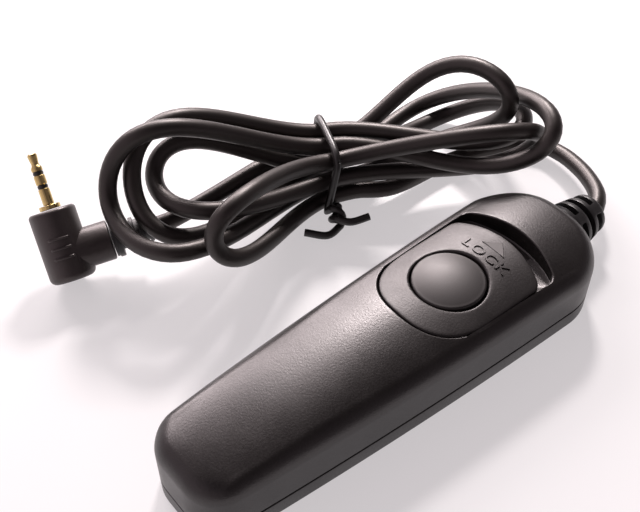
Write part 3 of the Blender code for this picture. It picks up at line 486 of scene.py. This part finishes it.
plug = {
    "centre": (-64.5, -37.3, 7.4), "pin": (-0.66, 0.156, 0.732), "stub": (0.363, 0.928, 0.082),
    "radius": 5.2, "top": 10.2, "bottom": 6.0, "topRound": 0.9, "bottomRound": 1.6, "roundSteps": 8,
    "sides": 96, "stubRadius": 4.5, "stubReach": 10.3, "stubStart": 0.5, "stubRound": 0.35, "stubChamfer": 0.1,
    "stubSides": 80, "joint": 0.25, "jointSegments": 3, "jointAngle": 38.0, "bootLength": 8.8,
}
waistAngle = math.radians(cable["waistTurn"])
along = Vector((math.cos(waistAngle), math.sin(waistAngle), 0.0))
across = Vector((-math.sin(waistAngle), math.cos(waistAngle), 0.0))


def strandPlace(column, row):
    height = cable["strandLow"] + cable["strandStep"] * row
    return Vector((*cable["waist"], height)) + across * (cable["strandStep"] * column)


def loopPoint(loop, t):
    side, first, last, reach, width, tilt, shift, lift, belly, bellyUp = loop
    s = math.sin(math.pi * t)
    k = math.cos(math.pi * t)
    swell = 4 * (s ** 2 - s ** 4)
    spread = cable["widthFactor"] * width * s ** 1.5 * k
    lean = math.radians(tilt)
    base = strandPlace(*first).lerp(strandPlace(*last), (1 - k) / 2)
    sideways = shift * s ** 2 + belly * swell + spread * math.cos(lean)
    upward = lift * s ** 2 + bellyUp * swell + spread * math.sin(lean)
    return base + along * (side * reach * s) + across * sideways + Vector((0, 0, upward))


def plugFrame():
    up = Vector(plug["pin"]).normalized()
    out = Vector(plug["stub"])
    out = (out - up * out.dot(up)).normalized()
    turn = Matrix((out, up.cross(out), up)).transposed().to_4x4()
    return Matrix.Translation(Vector(plug["centre"]) * mm) @ turn


def onStub(reach):
    return plugFrame() @ (Vector((reach, 0, 0)) * mm) / mm


def cableRoute():
    bootEnd = plug["stubReach"] + cable["fit"] + plug["bootLength"] + cable["fit"]
    first = strandPlace(*cable["firstStrand"])
    last = strandPlace(*cable["lastStrand"])
    lead = [onStub(bootEnd), onStub(bootEnd + cable["bootRun"])]
    lead += [Vector(p) for p in cable["plugLead"]]
    lead += [first - along * run for run in cable["runIn"]] + [first]
    route = smoothRoute(lead, cable["routeStep"])[:-1]
    steps = cable["loopSteps"]
    for loop in cable["loops"]:
        route += [loopPoint(loop, k / steps) for k in range(steps)]
    nearRun, farRun = cable["runOut"]
    lead = [last, last + along * nearRun, last + along * farRun + Vector(cable["runOutShift"])]
    lead += [Vector(p) for p in reversed(cable["handsetLead"])]
    lead.append(Vector(cable["relief"]) + Vector((0, cable["fit"], 0)))
    return route + smoothRoute(lead, cable["routeStep"])


def makeCable():
    route = cableRoute()
    curve = polyCurve("cable", list(reversed(route)))
    curve.bevel_depth = cable["diameter"] / 2 * mm
    curve.bevel_resolution = cable["roundness"]
    curve.use_fill_caps = True
    length = sum((b - a).length for a, b in zip(route, route[1:]))
    solids = ("handset_lead", "cable_hank", "plug_lead")
    piece = addPiece("cable", curve, "cable", "handset", solids)
    print("cable: %d points, %.0f mm" % (len(route), length))
    return piece, length


cablePiece, cableLength = makeCable()


# twist tie: once round the strands, twisted in front, tails bent apart
tie = {
    "diameter": 1.8, "passGap": 1.3, "fit": 0.3, "corner": 5.0, "sweep": 316.0, "ringSteps": 40,
    "knotShift": 2.6, "knotOut": 1.0, "knotLow": 0.55, "knotDip": 0.15,
    "twist": 270.0, "twistSteps": 8, "twistPitch": 0.6, "routeStep": 0.6, "sides": 14,
    "leftTail": [(1.6, -3.4, 0.0), (-0.6, -8.2, 0.0)],  # outward, along the strands and up
    "rightTail": [(1.2, 2.6, 0.0), (1.2, 6.8, 0.5)],
}


def tieRoute():
    middle = strandPlace(0, 1)
    half = cable["strandStep"] + cable["diameter"] / 2 + 2 * tie["fit"] + tie["diameter"] / 2
    power = 2 / tie["corner"]
    ring = []
    for k in range(tie["ringSteps"] + 1):
        share = k / tie["ringSteps"]
        turn = math.radians(tie["sweep"] * (share - 0.5))
        c = math.cos(turn)
        s = math.sin(turn)
        x = math.copysign(abs(c) ** power, c) * half
        z = math.copysign(abs(s) ** power, s) * half
        drift = tie["passGap"] * (2 * share - 1) - tie["knotShift"] * share ** 2
        ring.append(middle + across * x + Vector((0, 0, -z)) + along * drift)
    knot = middle - across * (half + tie["knotOut"]) - along * tie["knotShift"]
    knot += Vector((0, 0, -half * tie["knotLow"]))
    outward = (-across + Vector((0, 0, -tie["knotDip"]))).normalized()
    upward = along.cross(outward)
    left = []
    right = []
    for k in range(tie["twistSteps"] + 1):
        turn = math.radians(tie["twist"] * k / tie["twistSteps"])
        swing = along * math.cos(turn) + upward * math.sin(turn)
        centre = knot + outward * (tie["twistPitch"] * k)
        left.append(centre - swing * tie["passGap"])
        right.append(centre + swing * tie["passGap"])

    def tail(start, steps):
        return [start + outward * out + along * run + Vector((0, 0, up)) for out, run, up in steps]

    left += tail(left[-1], tie["leftTail"])
    right += tail(right[-1], tie["rightTail"])
    return list(reversed(left)) + ring + right


def makeTie():
    path = polyCurve("tie path", smoothRoute(tieRoute(), tie["routeStep"]))
    mesh = growMesh("tie grower", path, barTree("tie wire", tie["sides"]),
                    {"Radius": tie["diameter"] / 2 * mm, "Finish": finishes["tie"]})
    return addPiece("twistTie", mesh, "tie", "handset", ("twist_tie",), 50.0)


tiePiece = makeTie()
print("tie made")


# handset: crowned top shell with its pocket, base shell, hold plate and button
handset = {
    "length": 104.0, "farHalf": 16.4, "nearHalf": 10.6, "bow": 1.1, "nearCorner": 8.4, "farCorner": 13.2,
    "crown": 17.3, "crownRadius": 38.0, "endDrop": 1.5, "levelRun": 25.0, "fillet": 4.2, "sweep": 74.0,
    "wall": 1.6, "seam": 4.3, "seamGap": 0.4, "footBevel": 0.5, "lipHeight": 1.2, "lipInset": 1.85,
    "lipWall": 0.8, "buttonY": 16.0, "travel": 3.8, "stem": 6.9,
    "pocketHalf": 12.7, "pocketNear": 14.5, "pocketFar": 21.3, "farBow": 3.3, "pocketCorner": 2.6,
    "squareness": 2.4, "pocketFloor": 12.6, "floorUnder": 11.4,
    "openingRound": 0.15, "pocketFoot": 0.2, "footShare": 0.97, "rimRound": 0.35, "rimHold": 0.01,
    "topEdge": 0.15, "baseEdge": 0.12, "innerBevel": 0.4, "middleShare": 0.02,
    "rays": 720, "roundSteps": 4, "crownSteps": 22, "filletSteps": 12,
}
screwSeat = {"places": [(0.0, -41.0), (-9.0, 42.5), (9.0, 42.5)], "hole": 1.3, "sink": 2.2, "depth": 1.8,
             "mouth": 0.25, "flare": 0.35, "flareEnd": -0.1, "drillTop": 4.0, "drillEnd": -1.0, "sides": 40}
plate = {"fit": 0.3, "sink": 0.15, "hole": 8.1, "edgeRound": 0.35, "holeRound": 0.55, "rays": 360,
         "holeSteps": 5, "flatSteps": 10, "edgeSteps": 4}
button = {"radius": 7.7, "rim": 16.8, "dome": 0.9, "round": 0.5, "roundTurn": 75.0, "shoulder": 14.7,
          "stem": 6.5, "flange": 8.2, "flangeTop": 11.1, "flangeBottom": 10.5, "plunger": 2.5,
          "plungerEnd": 8.6, "domeSteps": 16, "roundSteps": 5, "sides": 96}
nearEnd = -handset["length"] / 2
farEnd = handset["length"] / 2
hub = (0.0, handset["buttonY"])


def halfWidth(y):
    a = (y - nearEnd) / handset["length"]
    taper = handset["nearHalf"] + (handset["farHalf"] - handset["nearHalf"]) * a
    return taper + handset["bow"] * 4 * a * (1 - a)


def handsetOutline(inset, cornerSteps=20, sideSteps=40):
    near = nearEnd + inset
    far = farEnd - inset
    nearRadius = handset["nearCorner"] - inset
    farRadius = handset["farCorner"] - inset
    nearCentre = (halfWidth(near + nearRadius) - handset["nearCorner"], near + nearRadius)
    farCentre = (halfWidth(far - farRadius) - handset["farCorner"], far - farRadius)
    right = arcPoints(nearCentre, nearRadius, -90, 0, cornerSteps)
    for k in range(1, sideSteps):
        y = nearCentre[1] + (farCentre[1] - nearCentre[1]) * k / sideSteps
        right.append((halfWidth(y) - inset, y))
    right += arcPoints(farCentre, farRadius, 0, 90, cornerSteps)
    return right + [(-x, y) for x, y in reversed(right)]


def pocketOutline(clearance, far, nearSteps=48, cornerSteps=10, bowSteps=16):
    half = handset["pocketHalf"] - clearance
    near = handset["pocketNear"] - clearance
    power = 2 / handset["squareness"]
    right = []
    for k in range(nearSteps + 1):
        turn = math.radians(-90 + 90 * k / nearSteps)
        right.append((half * max(math.cos(turn), 0.0) ** power, -near * abs(math.sin(turn)) ** power))
    bowRadius = (half ** 2 + handset["farBow"] ** 2) / (2 * handset["farBow"])
    bowCentre = far - bowRadius
    corner = handset["pocketCorner"]
    cornerX = half - corner
    cornerY = bowCentre + math.sqrt((bowRadius - corner) ** 2 - cornerX ** 2)
    lean = math.degrees(math.atan2(cornerY - bowCentre, cornerX))
    right += arcPoints((cornerX, cornerY), corner, 0, lean, cornerSteps)
    right += arcPoints((0.0, bowCentre), bowRadius, lean, 90, bowSteps)[1:]
    outline = right + [(-x, y) for x, y in right[-2:0:-1]]
    return [(x, hub[1] + y) for x, y in outline]


def crownHeight(x, y):
    drop = handset["crownRadius"] - math.sqrt(handset["crownRadius"] ** 2 - x ** 2)
    past = max(0.0, abs(y) - handset["levelRun"]) / (farEnd - handset["levelRun"])
    return handset["crown"] - drop - handset["endDrop"] * past ** 2


def rayRing(outline, rays):
    # where rays from the button's middle cross an outline
    turned = sorted((math.atan2(y - hub[1], x - hub[0]), x - hub[0], y - hub[1]) for x, y in outline)
    angles = [t[0] for t in turned]
    ring = []
    for k in range(rays):
        angle = -math.pi + 2 * math.pi * (k + 0.5) / rays
        c = math.cos(angle)
        s = math.sin(angle)
        index = bisect_right(angles, angle) % len(turned)
        _, ax, ay = turned[index - 1]
        _, bx, by = turned[index]
        reach = (ax * by - ay * bx) / (c * (by - ay) - s * (bx - ax))
        ring.append((hub[0] + reach * c, hub[1] + reach * s))
    return ring


def bodyRing(inset):
    return rayRing(handsetOutline(inset), handset["rays"])


def openingRing(radius, endSteps=40):
    far = arcPoints((0.0, hub[1] + handset["travel"]), radius, 0, 180, endSteps)
    return rayRing(far + arcPoints(hub, radius, 180, 360, endSteps), handset["rays"])


def level(ring, height):
    return [(x, y, height) for x, y in ring]


def crowned(ring, below=0.0):
    return [(x, y, crownHeight(x, y) - below) for x, y in ring]


def between(first, second, share):
    return [(ax + (bx - ax) * share, ay + (by - ay) * share) for (ax, ay), (bx, by) in zip(first, second)]


def makeTopShell():
    h = handset
    base = h["seam"] + h["seamGap"] / 2
    floor = h["pocketFloor"]
    soft = h["rimRound"]
    sweep = math.radians(h["sweep"])

    def pocket(grow):
        return rayRing(pocketOutline(-grow, h["pocketFar"] + grow), h["rays"])

    opening = openingRing(h["stem"])
    openingTop = openingRing(h["stem"] + h["openingRound"])
    wall = pocket(0.0)
    rings = [level(opening, h["floorUnder"]), level(opening, floor - h["openingRound"]),
             level(openingTop, floor), level(between(openingTop, wall, h["footShare"]), floor),
             level(wall, floor + h["pocketFoot"])]
    for a in quarterTurns(h["roundSteps"]):
        rings.append(crowned(pocket(soft * (1 - math.cos(a))), soft * (1 - math.sin(a))))
    rim = pocket(soft)
    edge = bodyRing(h["fillet"] * (1 - math.cos(sweep)))
    rings.append(crowned(between(rim, edge, h["rimHold"])))  # keeps the rim's shading close to it
    for step in range(1, h["crownSteps"]):
        rings.append(crowned(between(rim, edge, step / h["crownSteps"])))
    tops = [crownHeight(x, y) for x, y in edge]
    for step in range(h["filletSteps"] + 1):
        a = sweep * (h["filletSteps"] - step) / h["filletSteps"]
        drop = h["fillet"] * (math.sin(sweep) - math.sin(a))
        ring = bodyRing(h["fillet"] * (1 - math.cos(a)))
        rings.append([(x, y, top - drop) for (x, y), top in zip(ring, tops)])
    inside = bodyRing(h["wall"])
    rings += [level(bodyRing(0.0), base + h["topEdge"]), level(bodyRing(h["topEdge"]), base),
              level(inside, base), level(inside, h["floorUnder"] - h["innerBevel"]),
              level(bodyRing(h["wall"] + h["innerBevel"]), h["floorUnder"])]
    mesh = loftMesh("topShell", rings, joinEnds=True)
    return addPiece("topShell", mesh, "shell", "handset", ("top_shell",), 32.0)


def makeDrill(x, y):
    # cutter for one screw's hole and its sunk mouth
    seat = screwSeat
    mouth = seat["sink"] + seat["flare"]
    profile = [(0, seat["drillTop"]), (seat["hole"], seat["drillTop"]), (seat["hole"], seat["depth"]),
               (seat["sink"], seat["depth"]), (seat["sink"], seat["mouth"]), (mouth, seat["flareEnd"]),
               (mouth, seat["drillEnd"]), (0, seat["drillEnd"])]
    mesh = turnedMesh("drill", profile, seat["sides"])
    mesh.transform(Matrix.Translation(Vector((x, y, 0)) * mm))
    return addMaker("drill", mesh)


def addBoolean(item, name, operation, other):
    cutter = item.modifiers.new(name, "BOOLEAN")
    cutter.operation = operation
    cutter.solver = "EXACT"
    cutter.object = other


def makeBottomShell():
    h = handset
    top = h["seam"] - h["seamGap"] / 2
    bevel = h["footBevel"]
    foot = bodyRing(bevel)
    middle = between([hub] * h["rays"], foot, h["middleShare"])
    rings = [level(middle, 0.0), level(foot, 0.0)]
    for a in quarterTurns(h["roundSteps"])[1:]:
        rings.append(level(bodyRing(bevel * (1 - math.sin(a))), bevel * (1 - math.cos(a))))
    lip = bodyRing(h["lipInset"])
    lipInside = bodyRing(h["lipInset"] + h["lipWall"])
    lipTop = top + h["seamGap"] + h["lipHeight"]
    rings += [level(bodyRing(0.0), top - h["baseEdge"]), level(bodyRing(h["baseEdge"]), top), level(lip, top),
              level(lip, lipTop), level(lipInside, lipTop), level(lipInside, h["wall"]),
              level(middle, h["wall"])]
    item = addMaker("bottomShellMaker", loftMesh("bottomShell", rings, capped=True))
    drills = [makeDrill(x, y) for x, y in screwSeat["places"]]
    for drill in drills:
        addBoolean(item, "drill", "DIFFERENCE", drill)
    mesh = flatMesh(item)
    for drill in drills:
        bpy.data.objects.remove(drill, do_unlink=True)
    return addPiece("bottomShell", mesh, "shell", "handset", ("bottom_shell",), 32.0)


def makePlate():
    far = handset["pocketFar"] - handset["travel"] - plate["fit"]
    low = handset["pocketFloor"] + plate["fit"]
    sink = plate["sink"]
    holeRound = plate["holeRound"]
    edgeRound = plate["edgeRound"]

    def outer(inset):
        return rayRing(pocketOutline(plate["fit"] + inset, far - inset), plate["rays"])

    def inner(grow):
        return rayRing(arcPoints(hub, plate["hole"] + grow, 0, 358, 179), plate["rays"])

    rings = [level(inner(0.0), low)]
    for a in quarterTurns(plate["holeSteps"]):
        rings.append(crowned(inner(holeRound * (1 - math.cos(a))), sink + holeRound * (1 - math.sin(a))))
    inside = inner(holeRound)
    outside = outer(edgeRound)
    for step in range(1, plate["flatSteps"]):
        rings.append(crowned(between(inside, outside, step / plate["flatSteps"]), sink))
    for a in reversed(quarterTurns(plate["edgeSteps"])):
        rings.append(crowned(outer(edgeRound * (1 - math.cos(a))), sink + edgeRound * (1 - math.sin(a))))
    rings.append(level(outer(0.0), low))
    mesh = loftMesh("holdPlate", rings, joinEnds=True)
    return addPiece("holdPlate", mesh, "plate", "hold_slide", ("slide_plate",), 40.0)


def makeButton():
    b = button
    domeRadius = b["radius"] - b["round"]
    sphere = (domeRadius ** 2 + b["dome"] ** 2) / (2 * b["dome"])
    profile = [(0.0, b["rim"] + b["dome"])]
    for k in range(1, b["domeSteps"] + 1):
        r = domeRadius * k / b["domeSteps"]
        profile.append((r, b["rim"] + b["dome"] - (sphere - math.sqrt(sphere ** 2 - r ** 2))))
    roundTurn = math.radians(b["roundTurn"])
    for k in range(1, b["roundSteps"] + 1):
        a = roundTurn * k / b["roundSteps"]
        profile.append((domeRadius + b["round"] * math.sin(a) / math.sin(roundTurn),
                        b["rim"] - b["round"] * (1 - math.cos(a))))
    profile += [(b["radius"], b["shoulder"]), (b["stem"], b["shoulder"]), (b["stem"], b["flangeTop"]),
                (b["flange"], b["flangeTop"]), (b["flange"], b["flangeBottom"]),
                (b["plunger"], b["flangeBottom"]), (b["plunger"], b["plungerEnd"]), (0.0, b["plungerEnd"])]
    mesh = turnedMesh("shutterButton", profile, b["sides"])
    mesh.transform(Matrix.Translation(Vector((*hub, 0)) * mm))
    return addPiece("shutterButton", mesh, "button", "button", ("shutter_button",), 40.0)


makeTopShell()
makeBottomShell()
makePlate()
makeButton()
print("handset made")


# raised marks on the hold plate: a plain word and an arrow
marks = {"word": "LOCK", "size": 3.3, "spacing": 1.15, "middle": (0.1, 25.3), "width": 12.0, "rise": 0.2,
         "root": 0.1, "bevel": 0.03, "curveSteps": 4,
         "arrow": [(-3.0, 28.7), (3.2, 28.7), (0.1, 31.6)], "arrowBevel": 0.05, "arrowTop": 0.93}


def drapeOnPlate(mesh):
    for knot in mesh.vertices:
        x, y, z = knot.co / mm
        knot.co.z = (crownHeight(x, y) - plate["sink"] + z) * mm


def makeWord():
    text = bpy.data.curves.new("holdWord", "FONT")
    text.body = marks["word"]
    text.size = marks["size"] * mm
    text.align_x = "CENTER"
    text.space_character = marks["spacing"]
    text.extrude = (marks["rise"] + marks["root"]) / 2 * mm
    text.bevel_depth = marks["bevel"] * mm
    text.resolution_u = marks["curveSteps"]
    mesh = flatMesh(addMaker("holdWordMaker", text))
    places = [knot.co.x for knot in mesh.vertices]
    mesh.transform(Matrix.Diagonal((marks["width"] * mm / (max(places) - min(places)), 1, 1, 1)))
    height = (marks["rise"] - marks["root"]) / 2
    mesh.transform(Matrix.Translation(Vector((*marks["middle"], height)) * mm))
    drapeOnPlate(mesh)
    return addPiece("holdWord", mesh, "plate", "hold_slide", (), 30.0)


def makeArrow():
    arrow = marks["arrow"]
    centre = [(sum(x for x, _ in arrow) / 3, sum(y for _, y in arrow) / 3)] * 3
    rings = [level(arrow, -marks["root"]), level(arrow, marks["rise"] - marks["arrowBevel"]),
             level(between(centre, arrow, marks["arrowTop"]), marks["rise"])]
    mesh = loftMesh("holdArrow", rings, capped=True)
    drapeOnPlate(mesh)
    return addPiece("holdArrow", mesh, "button", "hold_slide", (), 30.0)


makeWord()
makeArrow()
print("marks made")


# strain relief: tapered rubber with staggered slots
relief = {
    "height": 7.0, "foot": 52.3, "tip": 62.5, "base": 6.2, "end": 4.7, "neck": 4.2, "flange": 4.9,
    "flangeFrom": 47.3, "flangeTo": 50.1, "flangeRound": 0.3, "core": 3.1, "footRun": 1.0, "tipRun": 0.6,
    "tipRound": [(0.25, 0.15), (0.05, 0.45), (0.0, 0.8)],  # back from the tip and in from the end's radius
    "grooves": 3, "groove": 1.5, "web": 3.0, "webTurn": 30.0, "webStagger": 90.0, "soft": 0.22,
    "edgeShare": 0.3, "wallStep": 0.01, "sides": 144,
}


def makeRelief():
    r = relief
    soft = r["soft"]
    edge = soft * r["edgeShare"]
    step = r["wallStep"]
    spacing = (r["tip"] - r["foot"]) / (r["grooves"] + 0.5)
    taperFrom = r["foot"] + r["footRun"]
    taperTo = r["tip"] - r["tipRun"]

    def outside(y):
        share = min(1.0, max(0.0, (y - taperFrom) / (taperTo - taperFrom)))
        return r["base"] + (r["end"] - r["base"]) * share

    # place along the handset, radius, and the groove's number where there is one
    stations = [(r["flangeFrom"], r["flange"] - r["flangeRound"], None),
                (r["flangeFrom"] + r["flangeRound"], r["flange"], None),
                (r["flangeTo"], r["flange"], None), (r["flangeTo"] + step, r["neck"], None),
                (r["foot"] - step, r["neck"], None), (r["foot"], r["base"] - soft, None),
                (r["foot"] + soft, r["base"], None)]
    for k in reversed(range(r["grooves"])):
        middle = r["tip"] - spacing * (k + 0.75)
        low = middle - r["groove"] / 2
        high = middle + r["groove"] / 2
        stations += [(low - soft, outside(low - soft), None), (low - edge, outside(low) - edge, k),
                     (low, outside(low) - soft, k), (low + step, r["core"], k), (high - step, r["core"], k),
                     (high, outside(high) - soft, k), (high + edge, outside(high) - edge, k),
                     (high + soft, outside(high + soft), None)]
    stations.append((taperTo, r["end"], None))
    stations += [(r["tip"] - back, r["end"] - inward, None) for back, inward in r["tipRound"]]
    rings = []
    for y, radius, groove in stations:
        ring = []
        for k in range(r["sides"]):
            angle = 2 * math.pi * k / r["sides"]
            size = radius
            if groove is not None:
                web = math.radians(r["webTurn"] + r["webStagger"] * groove)
                if outside(y) * abs(math.cos(angle - web)) < r["web"] / 2:
                    size = outside(y)
            ring.append((size * math.cos(angle), y, r["height"] - size * math.sin(angle)))
        rings.append(ring)
    mesh = loftMesh("strainRelief", rings, capped=True)
    return addPiece("strainRelief", mesh, "relief", "handset", ("strain_relief",), 38.0)


reliefPiece = makeRelief()
print("strain relief made")


# plug: right-angle body with grip ridges, a core in its pin and a ribbed boot
def makePlugBody():
    p = plug
    topRound = p["topRound"]
    bottomRound = p["bottomRound"]
    profile = [(0.0, p["top"])]
    for t in quarterTurns(p["roundSteps"]):
        profile.append((p["radius"] - topRound + topRound * math.sin(t),
                        p["top"] - topRound + topRound * math.cos(t)))
    for t in quarterTurns(p["roundSteps"]):
        profile.append((p["radius"] - bottomRound + bottomRound * math.cos(t),
                        -p["bottom"] + bottomRound - bottomRound * math.sin(t)))
    profile.append((0.0, -p["bottom"]))
    body = addMaker("plugBodyMaker", turnedMesh("plugBody", profile, p["sides"]))
    reach = p["stubReach"]
    radius = p["stubRadius"]
    stubProfile = [(0.0, reach), (radius - p["stubRound"], reach),
                   (radius - p["stubChamfer"], reach - p["stubChamfer"]), (radius, reach - p["stubRound"]),
                   (radius, p["stubStart"]), (0.0, p["stubStart"])]
    stubMesh = turnedMesh("plugStub", stubProfile, p["stubSides"])
    stubMesh.transform(Matrix.Rotation(math.pi / 2, 4, "Y"))
    stub = addMaker("plugStubMaker", stubMesh)
    addBoolean(body, "stub", "UNION", stub)
    soften = body.modifiers.new("soften", "BEVEL")
    soften.width = p["joint"] * mm
    soften.segments = p["jointSegments"]
    soften.limit_method = "ANGLE"
    soften.angle_limit = math.radians(p["jointAngle"])
    mesh = flatMesh(body)
    bpy.data.objects.remove(stub, do_unlink=True)
    mesh.transform(plugFrame())
    return addPiece("plugBody", mesh, "plug", "handset", ("plug_body",), 40.0)


ridges = {"count": 3, "step": 2.15, "length": 4.7, "middle": (-0.1, 1.6), "width": 0.62, "proud": 0.08,
          "dip": 0.45, "barSteps": 14, "sides": 10}


def makeGripRidges():
    r = ridges
    spread = r["length"] / plug["radius"]
    middle = -math.pi / 2 + r["middle"][0] / plug["radius"]
    places = []
    for k in range(r["barSteps"] + 1):
        angle = middle + spread * (k / r["barSteps"] - 0.5)
        dip = r["dip"] if k in (0, r["barSteps"]) else 0.0  # ends sink into the body
        reach = plug["radius"] + r["proud"] - dip
        places.append(Vector((reach * math.cos(angle), reach * math.sin(angle), 0)))
    bar = polyCurve("grip bar", places)
    mesh = growMesh("ridge grower", bar, barTree("grip ridges", r["sides"], inRow=True),
                    {"Count": r["count"], "Step": r["step"] * mm, "Radius": r["width"] / 2 * mm,
                     "Finish": finishes["plug"]})
    low = r["middle"][1] - r["step"] * (r["count"] - 1) / 2
    mesh.transform(plugFrame() @ Matrix.Translation(Vector((0, 0, low)) * mm))
    return addPiece("gripRidges", mesh, "plug", "handset", (), 50.0)


boot = {"neck": 3.0, "disc": 4.4, "discFrom": 0.6, "discThickness": 1.2, "discRound": 0.15, "rib": 3.6,
        "ribs": 4, "ribRound": 0.12, "taper": 0.35, "seat": 4.1, "sides": 64}


def makeBoot():
    start = plug["stubReach"] + cable["fit"]
    end = start + plug["bootLength"]
    discStart = start + boot["discFrom"]
    ribsStart = start + boot["discFrom"] + boot["discThickness"]
    bands = 2 * boot["ribs"]
    step = (end - ribsStart) / bands
    profile = [(0.0, end)]
    for k in range(bands):
        isRib = k % 2 == 0
        radius = (boot["rib"] if isRib else boot["neck"]) - boot["taper"] * (1 - k / bands)
        soft = boot["ribRound"] if isRib else 0.0
        top = end - step * k
        profile += [(radius - soft, top), (radius, top - soft),
                    (radius, top - step + soft), (radius - soft, top - step)]
    disc = boot["disc"]
    soft = boot["discRound"]
    profile += [(disc - soft, ribsStart), (disc, ribsStart - soft), (disc, discStart + soft),
                (disc - soft, discStart), (boot["seat"], discStart), (boot["seat"], start), (0.0, start)]
    mesh = turnedMesh("plugBoot", profile, boot["sides"])
    mesh.transform(plugFrame() @ Matrix.Rotation(math.pi / 2, 4, "Y"))
    return addPiece("plugBoot", mesh, "relief", "handset", ("plug_boot",), 40.0)


core = {"start": 0.15, "length": 9.0, "radius": 1.02, "sides": 32}


def makePinCore():
    # moulded core, seen only as dark lines between the plated contacts
    low = plug["top"] + core["start"]
    high = plug["top"] + core["length"]
    profile = [(0.0, high), (core["radius"], high), (core["radius"], low), (0.0, low)]
    mesh = turnedMesh("pinCore", profile, core["sides"])
    mesh.transform(plugFrame())
    return addPiece("pinCore", mesh, "insulator", "handset", (), 35.0)


plugPiece = makePlugBody()
corePiece = makePinCore()
ridgePiece = makeGripRidges()
bootPiece = makeBoot()
print("plug made")


# pieces that keep their solid shape take a finish
keptFinishes = {
    "gold": ["plug_collar", "sleeve_contact", "ring_contact", "tip_contact"],
    "insulator": ["rear_insulator", "front_insulator"],
    "base": ["contact_base", "upper_spacer", "lower_spacer"],
    "brass": ["common_leaf", "focus_leaf", "shutter_leaf"],
    "steel": ["stack_screw", "case_screw_near", "case_screw_left", "case_screw_right"],
    "white": ["common_wire"],
    "yellow": ["focus_wire"],
    "red": ["shutter_wire"],
}
for finish, names in keptFinishes.items():
    for name in names:
        nodes[name].data.materials.clear()
        nodes[name].data.materials.append(finishes[finish])
print("solids finished")

pinNodes = ["plug_collar", "sleeve_contact", "rear_insulator", "ring_contact", "front_insulator",
            "tip_contact"]
([plugPiece, corePiece, ridgePiece, bootPiece, tiePiece, reliefPiece]
        + [nodes[name] for name in pinNodes])
